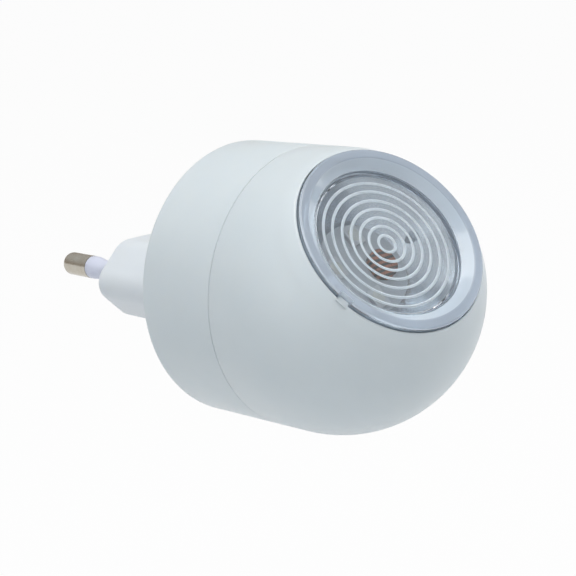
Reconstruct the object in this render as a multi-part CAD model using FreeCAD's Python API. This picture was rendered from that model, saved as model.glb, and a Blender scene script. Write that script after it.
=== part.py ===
import FreeCAD, Part
import math
import os

# Plug-in night light with a turning head, in millimetres.
# The origin is the middle of the plug's engagement face.
# +Y runs along the pins into the wall, -Y is the front of the lamp and +Z is up.

V = FreeCAD.Vector

# Overall sizes
BODY_DIAMETER = 45.0
NOSE_LENGTH = 17.5
BASE_LENGTH = 15.6
HEAD_STRAIGHT = 6.2
SEAM_GAP = 0.2
WALL = 1.9
REAR_WALL = 2.0
REAR_EDGE_ROUND = 0.8
RIM_ROUND = 0.25

# Head attitude: the lens looks up out of the front, the head is turned about the plug's axis
LENS_TILT = 38.5
HEAD_TURN = -11.0
TURN_LIMIT = 170.0

# Plug nose, a standard flat plug outline
NOSE_WIDTH = 35.3
NOSE_HEIGHT = 13.7
NOSE_END_RADIUS = 5.4
NOSE_CORNER_ROUND = 1.2
NOSE_FACE_ROUND = 0.6
NOSE_WALL = 2.2
NOSE_FACE_WALL = 3.0
FLANGE_OVERHANG = 2.0
FLANGE_THICK = 1.5
PIN_BOSS_RADIUS = 3.1
PIN_BOSS_DEPTH = 12.0
PIN_RELIEF_RADIUS = 2.3
PIN_RELIEF_DEPTH = 0.5

# Plug pins and their sleeves
PIN_SPACING_FACE = 18.6
PIN_SPACING_TIP = 17.5
PIN_LENGTH = 19.0
PIN_RADIUS = 2.0
PIN_TIP_ROUND = 1.0
PIN_CORE_RADIUS = 1.2
PIN_COLLAR_RADIUS = 1.9
PIN_COLLAR_LENGTH = 2.0
SLEEVE_LENGTH = 10.0
SLEEVE_NECK_RADIUS = 1.6
SLEEVE_BAND = 2.5
SLEEVE_TAPER = 1.5
SLEEVE_BURIED = 5.0

# Power board and the parts on it
BOARD_THICK = 1.6
BOARD_RADIUS = 15.3
CLAMP_PITCH = 12.0
CLAMP_BOSS_RADIUS = 2.6
BOARD_AIR = 2.0
EAR_THICK = 1.5
SHANK_RADIUS = 0.9
PAN_HEAD_RADIUS = 1.9
PAN_HEAD_HEIGHT = 1.3
CLAMP_SCREW_STOP = 0.4
FILM_CAP = (7.4, 10.2, 7.0)
FILM_CAP_X = -4.2
SMOOTH_CAP_RADIUS = 3.15
SMOOTH_CAP_LENGTH = 9.0
SMOOTH_CAP_X = 4.2
RECTIFIER = (4.7, 2.5, 3.9)
RECTIFIER_AT = (7.6, 10.2)
FUSE_RADIUS = 1.2
FUSE_LENGTH = 6.3
FUSE_LEAD_RADIUS = 0.3
FUSE_AT = (-7.6, 10.0)
BLEED = (3.2, 0.6, 1.6)
BLEED_AT = ((-6.5, -10.2), (6.5, -10.2))
HEADER = (5.0, 1.5, 3.6)

# Swivel between base and head
RING_THICK = 2.0
POST_RADIUS = 2.6
POST_INSET = 2.2
RING_POST_ANGLES = (45.0, 135.0, 225.0, 315.0)
FLAT_HEAD_RADIUS = 1.7
FLAT_HEAD_DEPTH = 0.8
FLAT_SCREW_LENGTH = 6.0
NECK_RADIUS = 8.0
NECK_BORE = 4.5
CHANNEL_WIDTH = 2.6
CHANNEL_DEPTH = 1.3
PEG_RADIUS = 0.95
HUB_THICK = 1.8
HUB_POST_ANGLES = (30.0, 150.0, 270.0)
HUB_POST_LENGTH = 7.0
THRUST_PAD_WIDTH = 2.5
WAVE_SPACE = 0.8
WAVE_SHEET = 0.3
WAVE_COUNT = 3
WAVE_WIDTH = 2.5
WASHER_THICK = 1.0
WASHER_RADIUS = 11.4
WASHER_SCREW_PITCH = 6.25
WASHER_SCREW_ANGLES = (90.0, 210.0, 330.0)
WASHER_SCREW_RADIUS = 0.7
WASHER_HEAD_RADIUS = 1.3
WASHER_HEAD_HEIGHT = 0.8
WASHER_SCREW_LENGTH = 4.5

# Lens, measured along its own axis from the dome's centre
LENS_RADIUS = 15.5
LENS_PROUD = 0.85
LENS_LIP = 0.22
LENS_RIM_WIDTH = 1.5
DISH_DEPTH = 1.5
DISH_TAPER = 1.6
LENS_PLATE = 1.2
LENS_HEIGHT = 3.9
LENS_SKIRT = 1.4
LENS_EDGE_ROUND = 0.25
FRESNEL_SHARES = (0.097, 0.226, 0.347, 0.468, 0.589, 0.718, 0.839)
FRESNEL_FIRST_DEPTH = 0.16
FRESNEL_DEPTH_STEP = 0.06
FRESNEL_RISER = 0.06
FRESNEL_LAND = 0.25
KEY_ANGLE = 196.5
KEY_WIDTH = 1.9
KEY_DEPTH = 0.7
CATCH_ANGLES = (-76.0, 44.0, 164.0)
CATCH_WIDTH = 3.0
CATCH_HEIGHT = 0.9
CATCH_REACH = 0.35

# Reflector and lamp board, along the same axis
LEDGE_WIDTH = 2.0
LEDGE_THICK = 1.5
COLLAR_WALL = 1.75
REFLECTOR_FLANGE = 0.9
REFLECTOR_INSET = 0.35
REFLECTOR_THROAT = 7.8
REFLECTOR_DEPTH = 5.5
REFLECTOR_WALL = 0.8
REFLECTOR_BOSS_RADIUS = 1.9
REFLECTOR_BOSS_PITCH = 9.9
LAMP_BOARD_RADIUS = 11.8
LED = (2.8, 3.5, 0.8)
LED_DOME_RADIUS = 1.1
LED_PITCH = 5.6
LED_ANGLES = (70.0, 160.0, 250.0)
SENSOR_RADIUS = 2.55
SENSOR_THICK = 1.6
SENSOR_AT = (2.85, -1.1)
CHIP = (2.0, 1.25, 0.5)
CHIP_AT = ((-4.5, -5.0), (0.0, -6.0), (4.5, -5.0))
TRANSISTOR = (2.9, 1.3, 1.0)
TRANSISTOR_AT = (0.0, 5.5)
LAMP_SCREW_RADIUS = 0.8
LAMP_SCREW_HEAD = 1.5
LAMP_SCREW_HEAD_HEIGHT = 1.1
LAMP_SCREW_LENGTH = 5.0
CABLE_RADIUS = 1.1
CABLE_BEND = 6.0

# Clearances
RUNNING_FIT = 0.08
THRUST_PLAY = 0.05
WAVE_PLAY = 0.02
SHELL_FIT = 0.2
NOSE_FIT = 0.15
LENS_FIT = 0.15
LEDGE_AIR = 0.05
HUB_AIR = 0.3
CHANNEL_FLOOR_GAP = 0.2
STOP_MARGIN = 0.4
CABLE_END_GAP = 0.3
HOLE_CLEARANCE = 0.15

# Places along the plug's axis
BODY_RADIUS = BODY_DIAMETER / 2
INNER_RADIUS = BODY_RADIUS - WALL
REAR_Y = -NOSE_LENGTH
FLOOR_Y = REAR_Y - REAR_WALL
SEAM_Y = REAR_Y - BASE_LENGTH
HEAD_Y = SEAM_Y - SEAM_GAP
DOME_Y = HEAD_Y - HEAD_STRAIGHT
FLANGE_Y = FLOOR_Y - FLANGE_THICK
RING_BACK_Y = SEAM_Y + RING_THICK
NECK_END_Y = RING_BACK_Y + WAVE_SPACE
WASHER_BACK_Y = NECK_END_Y + WASHER_THICK
BOARD_FRONT_Y = WASHER_BACK_Y + WASHER_HEAD_HEIGHT + BOARD_AIR
BOARD_Y = BOARD_FRONT_Y + BOARD_THICK
EAR_Y = BOARD_Y + EAR_THICK
CLAMP_SCREW_LENGTH = FLOOR_Y - BOARD_FRONT_Y - CLAMP_SCREW_STOP
HUB_FRONT_Y = HEAD_Y - HUB_THICK
POST_PITCH = INNER_RADIUS - POST_INSET
CHANNEL_OUTER = POST_PITCH - FLAT_HEAD_RADIUS - 0.5
CHANNEL_INNER = CHANNEL_OUTER - CHANNEL_WIDTH
CHANNEL_MIDDLE = (CHANNEL_OUTER + CHANNEL_INNER) / 2

# Places along the lens axis
BORE_RADIUS = LENS_RADIUS + LENS_FIT
LEDGE_HOLE = BORE_RADIUS - LEDGE_WIDTH
REFLECTOR_MOUTH = LEDGE_HOLE - REFLECTOR_INSET
CUT_AT = math.sqrt(BODY_RADIUS ** 2 - (BORE_RADIUS + LENS_LIP) ** 2)
LENS_TOP = CUT_AT + LENS_PROUD
DISH_AT = LENS_TOP - DISH_DEPTH
PLATE_AT = DISH_AT - LENS_PLATE
SKIRT_AT = LENS_TOP - LENS_HEIGHT
LEDGE_AT = SKIRT_AT - REFLECTOR_FLANGE
BOARD_TOP_AT = LEDGE_AT - REFLECTOR_DEPTH
BOARD_BACK_AT = BOARD_TOP_AT - BOARD_THICK

NEAR = 0.01
OVER = 1.0


# Small helpers


def tube_y(radius, y_start, y_end, x=0.0, z=0.0):
    """A round bar along the plug's axis."""
    low = min(y_start, y_end)
    return Part.makeCylinder(radius, abs(y_end - y_start), V(x, low, z), V(0, 1, 0))


def tube_z(radius, z_start, z_end, x=0.0, y=0.0):
    """A round bar along the lens axis, in the lens's own frame."""
    low = min(z_start, z_end)
    return Part.makeCylinder(radius, abs(z_end - z_start), V(x, y, low), V(0, 0, 1))


def block(size, corner):
    """A box from its low corner."""
    return Part.makeBox(size[0], size[1], size[2], V(*corner))


def round_edges(shape, radius, test):
    """Round the edges whose middle passes the test."""
    chosen = [edge for edge in shape.Edges if test(edge)]
    return shape.makeFillet(radius, chosen)


def middle(edge):
    """The point halfway along an edge."""
    first, last = edge.ParameterRange
    return edge.valueAt((first + last) / 2)


def spin(points, axis):
    """A solid of revolution about the Y or the Z axis, from (radius, height) points."""
    if axis == "y":
        corners = [V(radius, height, 0) for radius, height in points]
        direction = V(0, 1, 0)
    else:
        corners = [V(radius, 0, height) for radius, height in points]
        direction = V(0, 0, 1)
    wire = Part.makePolygon(corners + [corners[0]])
    return Part.Face(wire).revolve(V(0, 0, 0), direction, 360)


def turned_about_y(shape, degrees):
    """A copy turned about the plug's axis."""
    copy = shape.copy()
    copy.rotate(V(0, 0, 0), V(0, 1, 0), degrees)
    return copy


def around_z(shape, degrees):
    """A copy turned about the lens axis, in the lens's own frame."""
    copy = shape.copy()
    copy.rotate(V(0, 0, 0), V(0, 0, 1), degrees)
    return copy


def head_place(shape):
    """Turn a piece of the upright head to where the head stands."""
    return turned_about_y(shape, HEAD_TURN)


def lens_tilted(shape):
    """Move a piece from the lens's own frame into the upright head."""
    copy = shape.copy()
    copy.rotate(V(0, 0, 0), V(1, 0, 0), 90 - LENS_TILT)
    copy.translate(V(0, DOME_Y, 0))
    return copy


def lens_place(shape):
    """Move a piece from the lens's own frame to where the head stands."""
    return head_place(lens_tilted(shape))


def pitch_points(pitch, angles):
    """Points on a circle about the plug's axis, the angle counted from +X towards +Z."""
    spots = []
    for angle in angles:
        turn = math.radians(angle)
        spots.append((pitch * math.cos(turn), pitch * math.sin(turn)))
    return spots


def pan_screw(head_radius, head_height, shank_radius, length):
    """A pan-head screw in its own frame: seat at z = 0, shank along -Z."""
    return spin(
        [
            (0, -length),
            (shank_radius, -length),
            (shank_radius, 0),
            (head_radius, 0),
            (head_radius, head_height * 0.55),
            (head_radius * 0.75, head_height),
            (0, head_height),
        ],
        "z",
    )


def flat_screw(shank_radius, length):
    """A countersunk screw in its own frame: top at z = 0, shank along -Z."""
    return spin(
        [
            (0, -length),
            (shank_radius, -length),
            (shank_radius, -FLAT_HEAD_DEPTH),
            (FLAT_HEAD_RADIUS, 0),
            (0, 0),
        ],
        "z",
    )


def facing_front(shape, x, y, z):
    """Stand a screw or chip built along +Z on the front side: its +Z becomes -Y."""
    copy = shape.copy()
    copy.rotate(V(0, 0, 0), V(1, 0, 0), 90)
    copy.translate(V(x, y, z))
    return copy


def facing_rear(shape, x, y, z):
    """Stand a piece built along +Z on the wall side: its +Z becomes +Y."""
    copy = shape.copy()
    copy.rotate(V(0, 0, 0), V(1, 0, 0), -90)
    copy.translate(V(x, y, z))
    return copy


# The plug


def nose_prism(grow, y_start, y_end):
    """The standard plug outline, grown or shrunk, as a straight prism."""
    radius = NOSE_END_RADIUS + grow
    half = NOSE_HEIGHT / 2 + grow
    centre = NOSE_WIDTH / 2 - NOSE_END_RADIUS
    slant = radius * math.sqrt(0.5)
    corner = centre + radius * math.sqrt(2) - half
    y = y_start
    right = Part.Arc(
        V(centre + slant, y, slant),
        V(centre + radius, y, 0),
        V(centre + slant, y, -slant),
    ).toShape()
    left = Part.Arc(
        V(-centre - slant, y, -slant),
        V(-centre - radius, y, 0),
        V(-centre - slant, y, slant),
    ).toShape()
    edges = [
        Part.makeLine(V(-corner, y, half), V(corner, y, half)),
        Part.makeLine(V(corner, y, half), V(centre + slant, y, slant)),
        right,
        Part.makeLine(V(centre + slant, y, -slant), V(corner, y, -half)),
        Part.makeLine(V(corner, y, -half), V(-corner, y, -half)),
        Part.makeLine(V(-corner, y, -half), V(-centre - slant, y, -slant)),
        left,
        Part.makeLine(V(-centre - slant, y, slant), V(-corner, y, half)),
    ]
    outline = Part.Wire(edges)
    return Part.Face(outline).extrude(V(0, y_end - y_start, 0))


def along_pin(shape, side):
    """Lay a piece built along +Y about the origin onto one pin's slanted axis."""
    lean = (PIN_SPACING_FACE - PIN_SPACING_TIP) / 2 / PIN_LENGTH
    copy = shape.copy()
    copy.rotate(V(0, 0, 0), V(0, 0, 1), side * math.degrees(math.atan(lean)))
    copy.translate(V(side * PIN_SPACING_FACE / 2, 0, 0))
    return copy


def pin_in_line():
    """One pin along +Y: rounded contact end, thin core through the sleeve, anchoring collar."""
    contact = tube_y(PIN_RADIUS, SLEEVE_LENGTH, PIN_LENGTH)
    contact = round_edges(contact, PIN_TIP_ROUND, lambda e: middle(e).y > PIN_LENGTH - NEAR)
    core = tube_y(PIN_CORE_RADIUS, BOARD_FRONT_Y - 0.8, SLEEVE_LENGTH)
    collar_y = -PIN_BOSS_DEPTH + OVER
    collar = tube_y(PIN_COLLAR_RADIUS, collar_y, collar_y + PIN_COLLAR_LENGTH)
    return contact.fuse(core).fuse(collar).removeSplitter()


def sleeve_outside():
    """The sleeve's outer shape: a full band beside the contact end, a taper and a thinner neck."""
    band_y = SLEEVE_LENGTH - SLEEVE_BAND
    neck_y = band_y - SLEEVE_TAPER
    return spin(
        [
            (0, -SLEEVE_BURIED),
            (SLEEVE_NECK_RADIUS, -SLEEVE_BURIED),
            (SLEEVE_NECK_RADIUS, neck_y),
            (PIN_RADIUS, band_y),
            (PIN_RADIUS, SLEEVE_LENGTH),
            (0, SLEEVE_LENGTH),
        ],
        "y",
    )


def pin(side):
    """A plug pin on the left (-1) or right (+1)."""
    return along_pin(pin_in_line(), side)


def sleeve(side):
    """The insulating sleeve of one pin."""
    bore = tube_y(PIN_CORE_RADIUS, -SLEEVE_BURIED - OVER, SLEEVE_LENGTH + OVER)
    return along_pin(sleeve_outside().cut(bore), side)


def plug_block():
    """The hollow plug nose with its inner flange, pin bosses and two clamping ears."""
    nose = nose_prism(0, 0, BOARD_Y)
    nose = round_edges(
        nose,
        NOSE_CORNER_ROUND,
        lambda e: abs(e.Length - abs(BOARD_Y)) < NEAR and abs(abs(middle(e).z) - NOSE_HEIGHT / 2) < NEAR,
    )
    nose = round_edges(nose, NOSE_FACE_ROUND, lambda e: all(abs(v.Y) < NEAR for v in e.Vertexes))
    body = nose.fuse(nose_prism(FLANGE_OVERHANG, FLOOR_Y, FLANGE_Y))
    for side in (-1, 1):
        ear = tube_y(CLAMP_BOSS_RADIUS, EAR_Y, BOARD_Y, 0, side * CLAMP_PITCH)
        reach = CLAMP_PITCH * side
        strap_z = min(0, reach)
        strap = block((2 * CLAMP_BOSS_RADIUS, EAR_THICK, CLAMP_PITCH), (-CLAMP_BOSS_RADIUS, BOARD_Y, strap_z))
        body = body.fuse(ear).fuse(strap)
    body = body.cut(nose_prism(-NOSE_WALL, -NOSE_FACE_WALL, BOARD_Y - OVER))
    for side in (-1, 1):
        boss = tube_y(PIN_BOSS_RADIUS, -PIN_BOSS_DEPTH, -NOSE_FACE_WALL + 0.5)
        body = body.fuse(along_pin(boss, side))
    for side in (-1, 1):
        relief = tube_y(PIN_RELIEF_RADIUS, -PIN_RELIEF_DEPTH, OVER)
        body = body.cut(along_pin(relief, side))
        body = body.cut(along_pin(pin_in_line().fuse(sleeve_outside()), side))
        hole = tube_y(SHANK_RADIUS + HOLE_CLEARANCE, EAR_Y + OVER, BOARD_Y - OVER, 0, side * CLAMP_PITCH)
        body = body.cut(hole)
    return body.removeSplitter()


# The base


def base_shell():
    """The round cup of the base, with the nose's opening and every screw post."""
    cup = tube_y(BODY_RADIUS, REAR_Y, SEAM_Y)
    cup = round_edges(cup, REAR_EDGE_ROUND, lambda e: middle(e).y > REAR_Y - NEAR and e.Closed)
    cup = round_edges(cup, RIM_ROUND, lambda e: middle(e).y < SEAM_Y + NEAR and e.Closed)
    cup = cup.cut(tube_y(INNER_RADIUS, FLOOR_Y, SEAM_Y - OVER))
    for x, z in pitch_points(POST_PITCH, RING_POST_ANGLES):
        cup = cup.fuse(tube_y(POST_RADIUS, FLOOR_Y + 0.5, RING_BACK_Y, x, z))
    for side in (-1, 1):
        boss = tube_y(CLAMP_BOSS_RADIUS, FLOOR_Y + 0.5, EAR_Y, 0, side * CLAMP_PITCH)
        cup = cup.fuse(boss)
    cup = cup.cut(nose_prism(NOSE_FIT, REAR_Y + OVER, FLOOR_Y - NEAR))
    cup = cup.cut(nose_prism(FLANGE_OVERHANG + NOSE_FIT, FLOOR_Y, FLANGE_Y - OVER))
    for x, z in pitch_points(POST_PITCH, RING_POST_ANGLES):
        depth = FLAT_SCREW_LENGTH - RING_THICK
        cup = cup.cut(tube_y(SHANK_RADIUS, RING_BACK_Y - NEAR, RING_BACK_Y + depth, x, z))
    for side in (-1, 1):
        depth = CLAMP_SCREW_LENGTH - BOARD_THICK - EAR_THICK
        cup = cup.cut(tube_y(SHANK_RADIUS, EAR_Y - NEAR, EAR_Y + depth, 0, side * CLAMP_PITCH))
    return cup.removeSplitter()


def swivel_ring():
    """The base's front ring: bearing bore, stop channel with one rib, countersunk holes."""
    ring = tube_y(INNER_RADIUS - SHELL_FIT, RING_BACK_Y, SEAM_Y)
    ring = ring.cut(tube_y(NECK_RADIUS + RUNNING_FIT, RING_BACK_Y + OVER, SEAM_Y - OVER))
    channel = tube_y(CHANNEL_OUTER, SEAM_Y - OVER, SEAM_Y + CHANNEL_DEPTH)
    channel = channel.cut(tube_y(CHANNEL_INNER, SEAM_Y - 2 * OVER, SEAM_Y + CHANNEL_DEPTH + OVER))
    ring = ring.cut(channel.cut(stop_rib()))
    for x, z in pitch_points(POST_PITCH, RING_POST_ANGLES):
        ring = ring.cut(facing_front(flat_hole(RING_THICK), x, SEAM_Y, z))
    return ring.removeSplitter()


def stop_rib():
    """The wedge of the channel that is left standing, at the top."""
    peg_angle = math.degrees(math.asin(PEG_RADIUS / CHANNEL_MIDDLE))
    half = math.radians(180 - TURN_LIMIT - peg_angle - STOP_MARGIN)
    reach = 2 * BODY_RADIUS
    corners = [
        V(0, SEAM_Y - 3 * OVER, 0),
        V(reach * math.sin(-half), SEAM_Y - 3 * OVER, reach * math.cos(half)),
        V(reach * math.sin(half), SEAM_Y - 3 * OVER, reach * math.cos(half)),
    ]
    face = Part.Face(Part.makePolygon(corners + [corners[0]]))
    return face.extrude(V(0, 6 * OVER + CHANNEL_DEPTH, 0))


def flat_hole(thickness):
    """The countersunk hole for a flat screw, in the screw's own frame."""
    cone = Part.makeCone(
        SHANK_RADIUS, FLAT_HEAD_RADIUS, FLAT_HEAD_DEPTH, V(0, 0, -FLAT_HEAD_DEPTH), V(0, 0, 1)
    )
    mouth = tube_z(FLAT_HEAD_RADIUS, 0, OVER)
    bore = tube_z(SHANK_RADIUS, -thickness - OVER, -FLAT_HEAD_DEPTH)
    return cone.fuse(mouth).fuse(bore)


def swivel_ring_screws():
    """Four countersunk screws that hold the ring to the base's posts."""
    screws = []
    for x, z in pitch_points(POST_PITCH, RING_POST_ANGLES):
        screws.append(facing_front(flat_screw(SHANK_RADIUS, FLAT_SCREW_LENGTH), x, SEAM_Y, z))
    return Part.makeCompound(screws)


# The power board and its parts


def power_board():
    """The round mains board, drilled for the pins and the clamping screws."""
    board = tube_y(BOARD_RADIUS, BOARD_FRONT_Y, BOARD_Y)
    for side in (-1, 1):
        hole = tube_y(PIN_CORE_RADIUS, BOARD_FRONT_Y - OVER, BOARD_Y + OVER)
        board = board.cut(along_pin(hole, side))
        screw_hole = tube_y(
            SHANK_RADIUS + HOLE_CLEARANCE, BOARD_FRONT_Y - OVER, BOARD_Y + OVER, 0, side * CLAMP_PITCH
        )
        board = board.cut(screw_hole)
    return board


def board_screws():
    """Two pan-head screws through the board and the plug block's ears into the base."""
    screws = []
    for side in (-1, 1):
        screw = pan_screw(PAN_HEAD_RADIUS, PAN_HEAD_HEIGHT, SHANK_RADIUS, CLAMP_SCREW_LENGTH)
        screws.append(facing_front(screw, 0, BOARD_FRONT_Y, side * CLAMP_PITCH))
    return Part.makeCompound(screws)


def film_capacitor():
    """The boxed mains capacitor that reaches into the nose."""
    wide, long, deep = FILM_CAP
    box = block((wide, long, deep), (FILM_CAP_X - wide / 2, BOARD_Y, -deep / 2))
    return round_edges(box, 0.6, lambda e: abs(e.Length - long) < NEAR)


def smoothing_capacitor():
    """The round can beside it, with a beaded foot."""
    can = spin(
        [
            (0, 0),
            (SMOOTH_CAP_RADIUS, 0),
            (SMOOTH_CAP_RADIUS, 0.9),
            (SMOOTH_CAP_RADIUS - 0.3, 1.2),
            (SMOOTH_CAP_RADIUS - 0.3, 1.5),
            (SMOOTH_CAP_RADIUS, 1.8),
            (SMOOTH_CAP_RADIUS, SMOOTH_CAP_LENGTH - 0.4),
            (SMOOTH_CAP_RADIUS - 0.4, SMOOTH_CAP_LENGTH),
            (0, SMOOTH_CAP_LENGTH),
        ],
        "z",
    )
    return facing_rear(can, SMOOTH_CAP_X, BOARD_Y, 0)


def bridge_rectifier():
    """The small moulded rectifier with four flat leads."""
    wide, high, deep = RECTIFIER
    x, z = RECTIFIER_AT
    lead = 0.5
    package = block((wide, high - 0.2, deep), (x - wide / 2, BOARD_Y + 0.2, z - deep / 2))
    package = package.makeChamfer(0.3, [e for e in package.Edges if middle(e).y > BOARD_Y + high - NEAR])
    for side in (-1, 1):
        for step in (-1.25, 1.25):
            foot = block((lead, 0.3, 1.2), (x + step - lead / 2, BOARD_Y, z + side * deep / 2 - 0.6))
            package = package.fuse(foot)
    return package


def fusible_resistor():
    """An axial resistor lying on the board on its bent leads."""
    x, z = FUSE_AT
    height = FUSE_RADIUS + 0.2
    body = spin(
        [
            (0, -FUSE_LENGTH / 2),
            (FUSE_RADIUS - 0.3, -FUSE_LENGTH / 2),
            (FUSE_RADIUS, -FUSE_LENGTH / 2 + 0.3),
            (FUSE_RADIUS, FUSE_LENGTH / 2 - 0.3),
            (FUSE_RADIUS - 0.3, FUSE_LENGTH / 2),
            (0, FUSE_LENGTH / 2),
        ],
        "z",
    )
    body.rotate(V(0, 0, 0), V(0, 1, 0), 90)
    body.translate(V(x, BOARD_Y + height, z))
    half = FUSE_LENGTH / 2 + 1.0
    wire = Part.makeCylinder(
        FUSE_LEAD_RADIUS, 2 * half + 2 * FUSE_LEAD_RADIUS,
        V(x - half - FUSE_LEAD_RADIUS, BOARD_Y + height, z), V(1, 0, 0),
    )
    body = body.fuse(wire)
    for side in (-1, 1):
        body = body.fuse(tube_y(FUSE_LEAD_RADIUS, BOARD_Y, BOARD_Y + height, x + side * half, z))
    return body


def bleed_resistors():
    """Two chip resistors on the wall side of the board."""
    wide, high, deep = BLEED
    chips = []
    for x, z in BLEED_AT:
        chips.append(block(BLEED, (x - wide / 2, BOARD_Y, z - deep / 2)))
    return Part.makeCompound(chips)


def wire_header():
    """The socket in the middle of the board where the lamp's leads arrive."""
    wide, high, deep = HEADER
    body = block(HEADER, (-wide / 2, BOARD_FRONT_Y - high, -deep / 2))
    return body.makeChamfer(0.3, [e for e in body.Edges if abs(e.Length - high) < NEAR])


# The head


def head_outside():
    """The head's full outside before the lens opening: a short cylinder and a half ball."""
    straight = tube_y(BODY_RADIUS, HEAD_Y, DOME_Y)
    ball = Part.makeSphere(BODY_RADIUS, V(0, DOME_Y, 0))
    front = tube_y(BODY_RADIUS + OVER, DOME_Y, DOME_Y - BODY_RADIUS - OVER)
    return straight.fuse(ball.common(front)).removeSplitter()


def head_inside():
    """The head's cavity."""
    straight = tube_y(INNER_RADIUS, HEAD_Y + OVER, DOME_Y)
    ball = Part.makeSphere(INNER_RADIUS, V(0, DOME_Y, 0))
    front = tube_y(BODY_RADIUS + OVER, DOME_Y, DOME_Y - BODY_RADIUS - OVER)
    return straight.fuse(ball.common(front)).removeSplitter()


def head_shell():
    """The domed shell with its slanted lens seat, key, catch slots and hub posts."""
    outside = head_outside()
    outside = round_edges(outside, RIM_ROUND, lambda e: middle(e).y > HEAD_Y - NEAR and e.Closed)
    collar = tube_z(BORE_RADIUS + COLLAR_WALL, LEDGE_AT - LEDGE_THICK, CUT_AT)
    collar = lens_tilted(collar).common(outside)
    shell = outside.cut(head_inside()).fuse(collar.cut(hub_space()))
    for x, z in pitch_points(POST_PITCH, HUB_POST_ANGLES):
        post = tube_y(POST_RADIUS, HUB_FRONT_Y, HUB_FRONT_Y - HUB_POST_LENGTH, x, z)
        shell = shell.fuse(post.common(outside))
    cutters = tube_z(2 * BODY_RADIUS, CUT_AT, CUT_AT + BODY_RADIUS)
    cutters = cutters.fuse(tube_z(BORE_RADIUS, LEDGE_AT, CUT_AT + OVER))
    cutters = cutters.fuse(tube_z(LEDGE_HOLE, LEDGE_AT - LEDGE_THICK - OVER, LEDGE_AT + OVER))
    for angle in CATCH_ANGLES:
        cutters = cutters.fuse(around_z(catch_box(LENS_FIT), angle))
    shell = shell.cut(lens_tilted(cutters))
    shell = shell.fuse(lens_tilted(around_z(key_rib(), KEY_ANGLE)))
    for x, z in pitch_points(POST_PITCH, HUB_POST_ANGLES):
        depth = FLAT_SCREW_LENGTH - HUB_THICK
        shell = shell.cut(tube_y(SHANK_RADIUS, HUB_FRONT_Y + NEAR, HUB_FRONT_Y - depth, x, z))
    return head_place(shell.removeSplitter())


def hub_space():
    """The room that the hub's plate takes in the head, with air in front of it."""
    return tube_y(INNER_RADIUS, HEAD_Y + OVER, HUB_FRONT_Y - HUB_AIR)


def key_rib():
    """The rib in the lens bore that keeps the lens from turning, at angle zero."""
    deep = KEY_DEPTH + LENS_FIT + 0.4
    start = LENS_RADIUS - KEY_DEPTH + LENS_FIT
    return block((deep, KEY_WIDTH, CUT_AT - LEDGE_AT), (start, -KEY_WIDTH / 2, LEDGE_AT))


def key_notch(height_from, height_to):
    """The notch that clears the rib, at angle zero."""
    wide = KEY_WIDTH + 2 * LENS_FIT
    start = LENS_RADIUS - KEY_DEPTH
    return block((KEY_DEPTH + OVER, wide, height_to - height_from), (start, -wide / 2, height_from))


def catch_box(grow):
    """A snap catch on the lens skirt, or the slot for it, at angle zero."""
    start = LENS_RADIUS - 0.5
    reach = 0.5 + CATCH_REACH + grow
    width = CATCH_WIDTH + 2 * grow
    height = CATCH_HEIGHT + 2 * grow
    return block((reach, width, height), (start, -width / 2, SKIRT_AT + 0.4 - grow))


def lens_profile():
    """The lens's half section: rim, dished face, skirt and the stepped rings underneath."""
    dish_edge = LENS_RADIUS - LENS_RIM_WIDTH
    floor_edge = dish_edge - DISH_TAPER
    skirt_in = LENS_RADIUS - LENS_SKIRT
    points = [
        (0, DISH_AT),
        (floor_edge, DISH_AT),
        (dish_edge, LENS_TOP),
        (LENS_RADIUS - LENS_EDGE_ROUND, LENS_TOP),
        (LENS_RADIUS, LENS_TOP - LENS_EDGE_ROUND),
        (LENS_RADIUS, SKIRT_AT),
        (skirt_in, SKIRT_AT),
        (skirt_in, PLATE_AT),
    ]
    radii = [share * floor_edge for share in FRESNEL_SHARES]
    points.append((radii[-1] + FRESNEL_RISER, PLATE_AT + FRESNEL_LAND))
    for index in range(len(radii) - 1, -1, -1):
        outer = radii[index]
        inner = radii[index - 1] if index else 0.0
        depth = FRESNEL_FIRST_DEPTH + FRESNEL_DEPTH_STEP * index
        points.append((outer, PLATE_AT + depth))
        if index:
            points.append((inner + FRESNEL_RISER, PLATE_AT))
        else:
            points.append((0.0, PLATE_AT))
    return points


def lens():
    """The clear stepped lens with its keyed skirt and three snap catches."""
    body = spin(lens_profile(), "z")
    for angle in CATCH_ANGLES:
        catch = catch_box(0.0)
        body = body.fuse(around_z(catch, angle))
    body = body.cut(around_z(key_notch(SKIRT_AT - OVER, LENS_TOP + OVER), KEY_ANGLE))
    inner = tube_z(LENS_RADIUS - LENS_SKIRT, SKIRT_AT - OVER, PLATE_AT)
    body = body.cut(inner)
    return lens_place(body.removeSplitter())


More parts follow.
